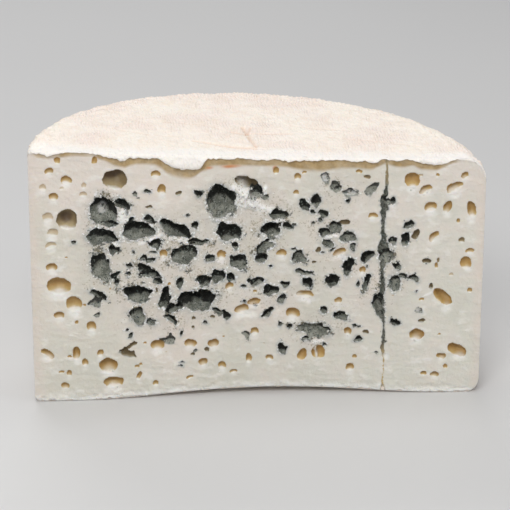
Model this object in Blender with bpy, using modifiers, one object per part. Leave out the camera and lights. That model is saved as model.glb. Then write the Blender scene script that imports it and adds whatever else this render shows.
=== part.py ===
"""Half wheel of blue-veined cheese, standing on its underside with the cut face towards -Y.

The origin is on the support surface, under the middle of the piece's box. Lengths are in metres,
and the lists of pockets and eyes are in millimetres: across from the middle of the cut face, up from
the support surface, half width, half height, and the lean of the width in degrees.
"""
import math

import bmesh
import bpy
from mathutils import Matrix, Vector, noise

MM = 0.001

# The whole wheel
RADIUS = 95.0 * MM
HEIGHT = 108.5 * MM
TURN_STEPS = 76

# The cut, a little behind the wheel's axis, and where the cut face stands
CUT_BEHIND_AXIS = 3.6 * MM
FACE_Y = -44.75 * MM

# The uneven form: one side has sunk, its shoulder and heel are rounder, and the underside is arched
TOP_SLOPE = -3.55 * MM
TOP_SAG = 0.95 * MM
SHOULDER = 5.9 * MM
SHOULDER_CHANGE = 3.6 * MM
HEEL = 4.3 * MM
HEEL_CHANGE = 1.5 * MM
ARCH_MIDDLE = 3.0 * MM
ARCH_REACH = 80.0 * MM
ARCH_HEIGHT = 3.0 * MM
ARCH_DEPTH = 50.0 * MM
ARCH_FADE = 34.0 * MM
DISH = 3.4 * MM
DISH_FADE = 72.0 * MM
DISH_DEPTH = 30.0 * MM
FACE_CELL = 9.5 * MM
SLIVER = 0.03 * MM

# The rind's torn edge, which hangs over the cut face, with one long flap
LIP_LEFT = -93.5 * MM
LIP_RIGHT = 89.0 * MM
LIP_POINTS = 44
LIP_RADIUS = 1.5 * MM
LIP_BELOW_TOP = 1.7 * MM
LIP_WAVE = 0.4 * MM
LIP_WAVE_LENGTH = 7.0 * MM
FLAP_MIDDLE = -31.0 * MM
FLAP_HALF_WIDTH = 10.0 * MM
FLAP_DROP = 3.2 * MM
FLAP_SWELL = 1.3
LIP_DROOPS = [(-59.0, 7.0, 0.8), (40.0, 4.0, 0.7), (72.0, 7.0, 1.5), (-88.0, 4.0, 0.4)]

# Cavities: their depth, how far they climb on the way in, and how lumpy they are
DEPTH_SHARE = 1.05
DEPTH_MAX = 6.5 * MM
OPENING_GAIN = 1.1
SUNK_SHARE = 0.25
CLIMB = 0.35
LUMPS = 0.20
LARGE = 3.3
LARGE_SEGMENTS = (11, 6)
SMALL_SEGMENTS = (6, 5)

BLUE_POCKETS = [
    (-64.5, 86.0, 5.6, 5.6, -10), (-56.8, 89.2, 3.9, 1.7, -28), (-50.0, 77.0, 7.2, 3.7, 0),
    (-44.8, 82.0, 2.3, 1.4, -30), (-35.0, 77.4, 7.2, 2.9, -28), (-65.2, 74.2, 5.8, 3.2, -8),
    (-60.5, 68.6, 1.8, 2.1, 0), (-65.6, 60.8, 4.0, 6.2, 22), (-67.0, 48.2, 4.2, 1.6, -35),
    (-42.6, 70.8, 2.6, 2.1, 0), (-31.2, 65.0, 5.6, 4.4, 0), (-24.8, 71.6, 3.8, 1.6, 0),
    (-20.3, 64.1, 2.0, 1.6, 0), (-45.4, 63.2, 2.2, 1.3, 0), (-46.0, 58.6, 5.6, 1.8, -28),
    (-50.2, 48.7, 5.5, 3.5, 0), (-38.9, 46.2, 2.6, 4.3, -18), (-25.6, 45.3, 7.9, 4.5, 0),
    (-33.0, 53.2, 1.9, 1.9, 0), (-22.4, 53.5, 2.8, 2.4, 0), (-16.9, 56.0, 2.9, 3.2, 0),
    (-11.2, 55.0, 1.8, 2.1, 0), (-51.0, 38.2, 3.3, 4.0, 0), (-45.0, 35.2, 2.3, 1.8, 15),
    (-36.2, 36.4, 2.6, 1.4, -45), (-15.3, 39.2, 3.9, 1.2, -17), (-15.5, 88.6, 5.9, 6.6, 0),
    (-4.8, 97.2, 6.0, 2.1, -12), (-1.6, 91.8, 2.6, 2.6, 0), (-12.3, 75.6, 5.0, 4.1, 0),
    (7.9, 83.2, 3.7, 1.9, 0), (5.0, 76.0, 4.6, 3.6, 0), (12.0, 77.4, 1.9, 1.5, 0),
    (2.6, 68.9, 4.4, 2.0, 38), (1.0, 63.8, 2.2, 2.6, 10), (-8.2, 62.0, 3.4, 3.4, 0),
    (17.2, 63.5, 3.0, 2.7, 20), (5.3, 48.9, 3.1, 2.2, 0), (11.0, 51.4, 2.1, 1.5, 0),
    (9.8, 44.2, 1.8, 2.2, 0), (-0.8, 52.6, 3.2, 1.2, 22), (4.0, 38.8, 2.8, 1.4, 35),
    (19.6, 56.9, 3.2, 1.2, -10), (20.9, 52.0, 2.3, 2.1, -25), (19.6, 86.6, 2.2, 2.4, 0),
    (24.0, 89.0, 1.7, 2.5, 0), (26.8, 83.2, 1.9, 1.3, -18), (28.2, 98.4, 1.8, 2.0, 0),
    (32.2, 95.2, 1.9, 1.9, 0), (38.6, 92.3, 3.3, 1.7, 0), (47.4, 93.0, 2.3, 2.4, 0),
    (32.0, 77.2, 2.6, 2.6, 0), (27.6, 74.4, 1.9, 1.8, 30), (28.9, 69.6, 2.5, 2.0, 0),
    (37.4, 72.6, 3.0, 2.0, 15), (39.8, 68.0, 1.4, 1.8, 0), (37.9, 59.0, 2.2, 3.9, 0),
    (31.4, 52.6, 2.3, 2.5, 0), (46.0, 63.6, 2.6, 1.9, 40), (45.5, 51.4, 1.3, 4.0, -28),
    (27.8, 39.0, 1.5, 1.6, 0), (34.9, 36.2, 3.6, 1.8, 8), (24.2, 30.4, 6.8, 2.6, -12),
    (56.2, 70.2, 1.4, 1.9, 0), (58.6, 58.8, 1.7, 1.9, 25), (57.8, 51.2, 2.5, 3.4, 0),
    (61.5, 71.2, 1.8, 2.5, 0), (63.2, 77.6, 1.9, 1.5, 20), (65.6, 53.2, 2.2, 1.5, 12),
    (58.0, 33.3, 2.3, 1.4, -15), (43.0, 25.6, 1.7, 1.4, 0), (10.2, 21.9, 1.6, 2.6, 0),
]

OCHRE_EYES = [
    (-59.5, 99.5, 4.9, 4.3, -8), (-79.6, 82.3, 4.3, 4.5, 0), (-83.6, 52.7, 5.0, 3.8, 0),
    (-77.3, 44.5, 3.3, 3.3, 0), (-79.5, 99.3, 2.3, 1.9, 0), (-84.7, 92.4, 1.9, 1.7, 0),
    (-87.5, 83.3, 2.0, 2.3, 0), (-85.5, 76.8, 2.3, 1.9, 0), (-86.5, 71.0, 2.4, 1.6, 12),
    (-86.3, 61.2, 2.3, 1.8, 0), (-83.7, 39.5, 2.1, 1.5, 0), (-70.0, 34.0, 2.0, 2.3, 0),
    (-89.2, 22.0, 3.3, 1.7, -32), (-77.0, 22.0, 1.6, 3.0, 0), (-73.5, 17.5, 1.3, 1.8, 0),
    (-63.4, 15.9, 3.9, 3.2, 0), (-61.4, 8.2, 4.1, 2.4, 0), (-42.5, 101.6, 1.8, 1.6, 0),
    (-40.0, 94.6, 1.7, 2.4, 0), (-39.7, 66.2, 1.5, 2.1, 0), (-42.6, 24.6, 2.8, 2.5, 0),
    (-55.2, 21.2, 3.1, 1.8, 0), (-28.5, 25.0, 2.5, 1.9, 0), (-18.8, 24.6, 2.2, 1.9, 0),
    (-23.3, 16.0, 2.1, 1.6, 10), (-15.3, 65.2, 1.9, 2.2, 0), (-6.8, 40.4, 3.0, 2.0, 15),
    (9.8, 65.8, 2.0, 1.8, 0), (19.8, 46.6, 3.6, 1.8, 0), (14.8, 38.0, 3.0, 2.6, 0),
    (-1.4, 30.0, 1.9, 1.9, 0), (-15.0, 14.0, 1.8, 1.9, 0), (-3.8, 17.4, 1.3, 2.3, 0),
    (19.0, 18.5, 1.9, 2.8, -22), (25.8, 19.7, 2.8, 3.1, 0), (39.6, 12.0, 1.6, 1.8, 0),
    (38.2, 29.1, 1.7, 1.8, 0), (34.2, 65.2, 2.9, 1.7, 30), (48.0, 81.3, 1.9, 1.4, 0),
    (64.1, 96.9, 3.0, 3.2, 0), (69.8, 92.9, 2.9, 1.7, 35), (81.6, 93.3, 3.2, 1.9, 40),
    (71.8, 84.8, 2.7, 2.1, 10), (79.2, 84.6, 1.7, 2.7, -22), (89.2, 83.4, 1.9, 3.8, 12),
    (66.2, 73.0, 1.7, 2.2, 0), (73.6, 71.8, 2.7, 1.7, 45), (87.6, 59.4, 2.4, 2.7, 0),
    (78.2, 44.2, 4.8, 2.7, -42), (67.6, 27.0, 3.0, 2.5, -20), (84.9, 19.6, 4.4, 2.5, -26),
    (78.4, 17.0, 2.0, 1.4, -12), (75.7, 8.4, 1.8, 1.3, 0), (71.0, 60.0, 1.6, 1.3, 0),
]

# The channel that the piercing needle left: across, up, and half width at each point, from the foot up
CHANNEL = [
    (53.6, -3.0, 1.0), (53.6, 3.0, 1.0), (53.8, 12.0, 0.6), (53.6, 19.0, 0.8), (53.5, 24.0, 1.2),
    (53.3, 29.0, 0.7), (53.4, 33.5, 0.6), (52.4, 37.5, 1.6), (51.0, 41.0, 2.2), (51.6, 45.0, 1.6),
    (52.6, 49.0, 1.2), (52.4, 56.5, 0.8), (52.8, 61.0, 1.5), (53.6, 64.0, 2.8), (52.6, 67.5, 1.8),
    (52.4, 72.0, 1.0), (52.4, 80.0, 1.2), (53.0, 87.0, 1.5), (53.4, 92.0, 0.9), (53.4, 100.0, 0.7),
    (53.4, 112.0, 0.9),
]


def clear_scene():
    for item in list(bpy.data.objects):
        bpy.data.objects.remove(item, do_unlink=True)


def new_collection(name):
    collection = bpy.data.collections.new(name)
    bpy.context.scene.collection.children.link(collection)
    return collection


def new_object(name, data, collection):
    item = bpy.data.objects.new(name, data)
    collection.objects.link(item)
    return item


def mark_as_cutter(item):
    item.hide_render = True
    item.display_type = "WIRE"


def paste_material():
    material = bpy.data.materials.new("ivory_paste")
    material.use_nodes = True
    shader = material.node_tree.nodes["Principled BSDF"]
    shader.inputs["Base Color"].default_value = (0.72, 0.69, 0.59, 1.0)
    shader.inputs["Roughness"].default_value = 0.55
    shader.inputs["Metallic"].default_value = 0.0
    return material


def top_height(across):
    """Height of the top over the support surface: it falls from the left side to the right."""
    share = across / RADIUS
    return HEIGHT + TOP_SLOPE * share + TOP_SAG * share * share


def shoulder_radius(across):
    return SHOULDER + SHOULDER_CHANGE * across / RADIUS


def edge_height(across):
    """Height of the cut face's upper edge, which rounds over at the two shoulders."""
    rounding = shoulder_radius(across)
    into_rounding = max(0.0, rounding - (math.sqrt(RADIUS ** 2 - CUT_BEHIND_AXIS ** 2) - abs(across)))
    return top_height(across) - rounding + math.sqrt(rounding ** 2 - into_rounding ** 2)


def stretch(value, old, new, full):
    """Stretch the first part of a length from old to new, and the rest to end at full as before."""
    if value < old:
        return value * new / old
    return new + (value - old) * (full - new) / (full - old)


def arch_share(across):
    """Share of the full arch at a place across the face: 1 in its middle, 0 at both ends."""
    share = (across - ARCH_MIDDLE) / ARCH_REACH
    return max(0.0, 1.0 - share * share) ** 2


def fade(distance, reach):
    return max(0.0, 1.0 - distance / reach) ** 2


def dish_depth(across, level, behind):
    """How far a place has moved back because the cut face is slightly hollow."""
    return DISH * arch_share(across) * fade(behind, DISH_DEPTH) * fade(level, DISH_FADE)


def wheel_profile():
    """Half section of a plain wheel, from the top's centre down the outside to the underside's."""
    points = [(RADIUS * share, HEIGHT) for share in (0.0, 0.35, 0.65, 0.84)]
    for step in range(6):
        turn = math.radians(90.0 - 18.0 * step)
        points.append((RADIUS - SHOULDER + SHOULDER * math.cos(turn),
                       HEIGHT - SHOULDER + SHOULDER * math.sin(turn)))
    points += [(RADIUS, HEIGHT * share) for share in (0.7, 0.45, 0.2)]
    for step in range(4):
        turn = math.radians(-30.0 * step)
        points.append((RADIUS - HEEL + HEEL * math.cos(turn), HEEL + HEEL * math.sin(turn)))
    points += [(RADIUS * share, 0.0) for share in (0.84, 0.65, 0.35, 0.0)]
    return points


def turned_wheel(collection):
    """Mesh of the plain wheel, made by turning the profile about the Z axis."""
    mesh = bpy.data.meshes.new("wheel_profile")
    points = wheel_profile()
    edges = [(index, index + 1) for index in range(len(points) - 1)]
    mesh.from_pydata([(radius, 0.0, height) for radius, height in points], edges, [])
    profile = new_object("wheel_profile", mesh, collection)
    screw = profile.modifiers.new("turn", "SCREW")
    screw.angle = math.tau
    screw.steps = TURN_STEPS
    screw.render_steps = TURN_STEPS
    screw.use_merge_vertices = True
    screw.merge_threshold = 0.00005
    depsgraph = bpy.context.evaluated_depsgraph_get()
    wheel = bpy.data.meshes.new_from_object(profile.evaluated_get(depsgraph))
    bpy.data.objects.remove(profile, do_unlink=True)
    return wheel


def grid_the_face(bm, face):
    """Divide the flat cut face by upright and level lines, so that it can be dished."""
    plain = [face] + list(face.edges) + list(face.verts)
    across_lines = [(Vector((step * FACE_CELL, 0.0, 0.0)), Vector((1.0, 0.0, 0.0)))
                    for step in range(-9, 10)]
    level_lines = [(Vector((0.0, 0.0, step * FACE_CELL)), Vector((0.0, 0.0, 1.0)))
                   for step in range(1, 11)]
    for point, normal in across_lines + level_lines:
        parts = bmesh.ops.bisect_plane(bm, geom=plain, dist=0.00001, plane_co=point, plane_no=normal)
        plain = list(set(parts["geom"]))


def settle(point):
    """Turn a point of the plain wheel into one of the sunk, uneven and arched piece."""
    radius = math.hypot(point.x, point.y)
    top = top_height(point.x)
    shoulder = shoulder_radius(point.x)
    heel = HEEL + HEEL_CHANGE * point.x / RADIUS
    upper = point.z > HEIGHT / 2
    rounding, plain = (shoulder, SHOULDER) if upper else (heel, HEEL)
    inset = stretch(RADIUS - radius, plain, rounding, RADIUS)
    scale = (RADIUS - inset) / radius if radius > 0.0 else 1.0
    level = point.z
    if upper:
        level = HEIGHT - stretch(HEIGHT - point.z, SHOULDER, shoulder, HEIGHT / 2)
    else:
        level = stretch(point.z, HEEL, heel, HEIGHT / 2)
    level *= top / HEIGHT
    behind = point.y - CUT_BEHIND_AXIS
    lift = ARCH_HEIGHT * arch_share(point.x) * fade(behind, ARCH_DEPTH) * fade(level, ARCH_FADE)
    dish = dish_depth(point.x, level, behind)
    on_face = behind < 0.00001
    depth = behind if on_face else point.y * scale - CUT_BEHIND_AXIS
    return Vector((point.x * scale, FACE_Y + depth + dish, level + lift))


def half_wheel(collection, work):
    """The piece without its lip and cavities: the wheel cut behind its axis, then settled."""
    bm = bmesh.new()
    bm.from_mesh(turned_wheel(work))
    cut = bmesh.ops.bisect_plane(bm, geom=bm.verts[:] + bm.edges[:] + bm.faces[:], dist=0.00001,
                                 plane_co=Vector((0.0, CUT_BEHIND_AXIS, 0.0)),
                                 plane_no=Vector((0.0, 1.0, 0.0)), clear_inner=True)
    rim = [item for item in cut["geom_cut"] if isinstance(item, bmesh.types.BMEdge)]
    filled = bmesh.ops.holes_fill(bm, edges=rim, sides=0)["faces"]
    grid_the_face(bm, filled[0])
    for vertex in bm.verts:
        vertex.co = settle(vertex.co)
    bmesh.ops.recalc_face_normals(bm, faces=bm.faces[:])
    mesh = bpy.data.meshes.new("half_wheel")
    bm.to_mesh(mesh)
    bm.free()
    mesh.shade_smooth()
    mesh.set_sharp_from_angle(angle=math.radians(35.0))
    piece = new_object("half_wheel", mesh, collection)
    piece.data.materials.append(paste_material())
    return piece


def tube(name, points, sides, collection):
    """Closed tube through points given as (place, half width), as a mesh object."""
    curve = bpy.data.curves.new(name, "CURVE")
    curve.dimensions = "3D"
    curve.bevel_depth = 1.0
    curve.bevel_resolution = sides
    curve.use_fill_caps = True
    spline = curve.splines.new("POLY")
    spline.points.add(len(points) - 1)
    for target, (place, half_width) in zip(spline.points, points):
        target.co = (*place, 1.0)
        target.radius = half_width
    guide = new_object(name + "_guide", curve, collection)
    depsgraph = bpy.context.evaluated_depsgraph_get()
    mesh = bpy.data.meshes.new_from_object(guide.evaluated_get(depsgraph))
    bpy.data.objects.remove(guide, do_unlink=True)
    bm = bmesh.new()
    bm.from_mesh(mesh)
    bmesh.ops.remove_doubles(bm, verts=bm.verts[:], dist=0.00001)
    bmesh.ops.recalc_face_normals(bm, faces=bm.faces[:])
    bm.to_mesh(mesh)
    bm.free()
    item = new_object(name, mesh, collection)
    mark_as_cutter(item)
    return item


def lip_point(share):
    """Place and half width of the torn rind edge, at a share of its way from left to right."""
    across = LIP_LEFT + share * (LIP_RIGHT - LIP_LEFT)
    flap = max(0.0, 1.0 - ((across - FLAP_MIDDLE) / FLAP_HALF_WIDTH) ** 2)
    wave = noise.noise(Vector((across / LIP_WAVE_LENGTH, 0.0, 0.0)))
    droop = FLAP_DROP * flap
    for middle, half_width, depth in LIP_DROOPS:
        droop += depth * MM * max(0.0, 1.0 - ((across / MM - middle) / half_width) ** 2)
    half_width = LIP_RADIUS * (1.0 + 0.22 * wave) * (1.0 + (FLAP_SWELL - 1.0) * flap)
    place = (across, FACE_Y, edge_height(across) - LIP_BELOW_TOP - droop - LIP_WAVE * wave)
    return place, half_width


def add_lip(collection):
    shares = [step / (LIP_POINTS - 1) for step in range(LIP_POINTS)]
    return tube("rind_lip", [lip_point(share) for share in shares], 1, collection)


def add_cavity(name, across, up, half_width, half_height, lean, collection):
    """Lumpy hollow that opens on the cut face and climbs a little on its way in."""
    large = max(half_width, half_height) > LARGE
    depth = min(DEPTH_SHARE * math.sqrt(half_width * half_height) * MM, DEPTH_MAX)
    wide = OPENING_GAIN * half_width * MM
    high = OPENING_GAIN * half_height * MM
    bm = bmesh.new()
    around, along = LARGE_SEGMENTS if large else SMALL_SEGMENTS
    bmesh.ops.create_uvsphere(bm, u_segments=around, v_segments=along, radius=1.0,
                              matrix=Matrix.Rotation(math.radians(90.0), 4, "X"))
    spread = Matrix.Rotation(math.radians(-lean), 3, "Y")
    opening = FACE_Y + dish_depth(across * MM, up * MM, 0.0)
    for vertex in bm.verts:
        seed = vertex.co * 1.7 + Vector((across, 0.0, up))
        lump = vertex.co * (1.0 + LUMPS * noise.noise(seed))
        flat = spread @ Vector((lump.x * wide, 0.0, lump.z * high))
        inwards = lump.y * depth
        vertex.co = (across * MM + flat.x, opening + SUNK_SHARE * depth + inwards,
                     up * MM + flat.z + CLIMB * inwards)
    bmesh.ops.recalc_face_normals(bm, faces=bm.faces[:])
    mesh = bpy.data.meshes.new(name)
    bm.to_mesh(mesh)
    bm.free()
    mark_as_cutter(new_object(name, mesh, collection))


def add_cavities(collection):
    for kind, cavities in (("pocket", BLUE_POCKETS), ("eye", OCHRE_EYES)):
        for number, values in enumerate(cavities, 1):
            add_cavity(f"{kind}_{number:02d}", *values, collection)


def add_channel(collection):
    points = [((across * MM, FACE_Y + dish_depth(across * MM, up * MM, 0.0), up * MM), half_width * MM)
              for across, up, half_width in CHANNEL]
    tube("needle_channel", points, 1, collection)


def join_and_cut(piece, joined, cutters):
    for name, operation, operands in (("join_lip", "UNION", joined), ("cut_cavities", "DIFFERENCE", cutters)):
        boolean = piece.modifiers.new(name, "BOOLEAN")
        boolean.operation = operation
        boolean.operand_type = "COLLECTION"
        boolean.collection = operands
        boolean.solver = "EXACT"
    weld = piece.modifiers.new("weld_slivers", "WELD")
    weld.merge_threshold = SLIVER


def main():
    clear_scene()
    parts = new_collection("half_wheel_of_blue_cheese")
    joined = new_collection("joined_to_the_wheel")
    cutters = new_collection("cutters")
    piece = half_wheel(parts, cutters)
    add_lip(joined)
    add_cavities(cutters)
    add_channel(cutters)
    join_and_cut(piece, joined, cutters)


main()
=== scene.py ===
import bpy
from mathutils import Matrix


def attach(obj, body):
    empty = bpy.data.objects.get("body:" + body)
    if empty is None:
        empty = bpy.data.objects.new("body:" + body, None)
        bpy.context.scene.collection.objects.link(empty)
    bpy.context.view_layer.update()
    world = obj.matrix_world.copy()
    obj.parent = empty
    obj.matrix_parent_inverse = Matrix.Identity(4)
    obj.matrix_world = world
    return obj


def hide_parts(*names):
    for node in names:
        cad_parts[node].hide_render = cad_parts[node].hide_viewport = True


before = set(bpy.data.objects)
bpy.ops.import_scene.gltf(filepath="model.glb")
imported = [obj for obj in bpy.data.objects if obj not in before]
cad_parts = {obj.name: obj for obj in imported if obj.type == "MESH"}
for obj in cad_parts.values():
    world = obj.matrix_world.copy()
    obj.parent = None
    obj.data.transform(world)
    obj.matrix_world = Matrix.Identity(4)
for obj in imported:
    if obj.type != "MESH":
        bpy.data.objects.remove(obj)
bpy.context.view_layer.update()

# Half wheel of blue-veined cheese, standing on its underside with the cut face towards -Y. The shape
# functions work in millimetres, across (X), back (Y) and up (Z), and a mesh is written in metres.
import math

import bmesh
import bpy
import numpy as np
from mathutils import Matrix, Vector

MM = 0.001

# The whole wheel, the cut a little behind its axis, and where the cut face stands
RADIUS = 95.0
HEIGHT = 108.5
CUT_BEHIND_AXIS = 3.6
FACE_Y = -44.75

# The uneven form: one side has sunk, its shoulder and heel are rounder, and the underside is arched
TOP_SLOPE = -3.55
TOP_SAG = 0.95
SHOULDER = 5.9
SHOULDER_CHANGE = 3.6
HEEL = 4.3
HEEL_CHANGE = 1.5
ARCH_MIDDLE = 3.0
ARCH_REACH = 80.0
ARCH_HEIGHT = 3.0
ARCH_DEPTH = 50.0
ARCH_FADE = 34.0
DISH = 3.4
DISH_FADE = 72.0
DISH_DEPTH = 30.0

# How finely the two bodies are divided: columns along the cut, and rows up the face, round the lip,
# or over the top, down the wall and back underneath; and how strongly those rows bunch at the edge
FACE_COLUMNS = 404
FACE_ROWS = 206
PASTE_BACK_ROWS = (7, 3, 7)
RIND_COLUMNS = 418
LIP_ROWS = 13
RIND_ROWS = (144, 46, 20)
RIND_INNER_ROWS = (5, 3, 4)
TOP_BUNCH = 0.15
FOOT_BUNCH = 2.0

# How far inside the wheel the curd's hidden skin and its upper edge lie, how far outside its side
# edges, how thick the rind is, and the least rounding of a corner inside the wheel
PASTE_INSET = 1.25
FACE_INSET = 0.12
FACE_PROUD = 0.04
RIND_THICKNESS = 1.7
LEAST_ROUNDING = 0.8

# The cloth's ribs: their width round the rim, and up the wall
RIB_WIDTH = 2.1
LEVEL_RIB_WIDTH = 3.1

# How many places are tried for crumbs of curd and of mould
CRUMB_TRIES = 10500
MOULD_CRUMB_TRIES = 9000

# Hollows: the turn at which a hollow's roof meets the face, so that it overhangs, the deepest one, and
# the lobes of a ragged outline, as strength and how many there are round it
OPEN_TURN = math.radians(104.5)
DEEPEST = 8.2
LOBES = [(0.06, 2), (0.08, 3), (0.05, 5)]

# Floors that end in less than this turn, in degrees, run out gently and are painted white below the
# hollow as lit; how widely a moulded hollow counts towards the zone, in square millimetres; and how
# high in a hollow the channel's sides count as lying, which sets their painted shade
LIT_FLOOR_TURN = 55
ZONE_REACH = 72.0
CHANNEL_SHADE = -0.50

# What is summed or kept over the cut face, hollow by hollow
SUMS = ("power", "side", "lift", "climb", "strongest", "weight", "mould", "ochre", "brown", "roof",
        "edge", "halo", "glow", "zone")

# Each kind of hollow: depth for its size, raggedness, climb, turn at its floor, mould, ochre, brown,
# and how much higher in the hollow its places count as lying, which makes their painted shade darker
KINDS = {
    "blue": (1.05, 1.00, 0.10, 76, 1.0, 0.0, 0.0, -0.06),
    "smoky": (0.80, 0.95, 0.50, 72, 1.0, 0.0, 0.0, -0.30),
    "grey": (0.60, 1.20, 0.15, 66, 0.6, 0.0, 0.0, -0.45),
    "olive": (0.85, 1.10, 0.15, 68, 0.37, 1.0, 0.8, 0.10),
    "eye": (0.90, 0.40, 0.22, 52, 0.0, 1.0, 0.12, 0.0),
    "brown": (1.00, 0.45, 0.15, 60, 0.0, 1.0, 1.0, 0.20),
    "orange": (0.90, 0.40, 0.25, 58, 0.0, 1.0, 0.0, 0.20),
    "faint": (0.45, 0.50, 0.40, 45, 0.0, 0.45, 0.1, -0.30),
}

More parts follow.
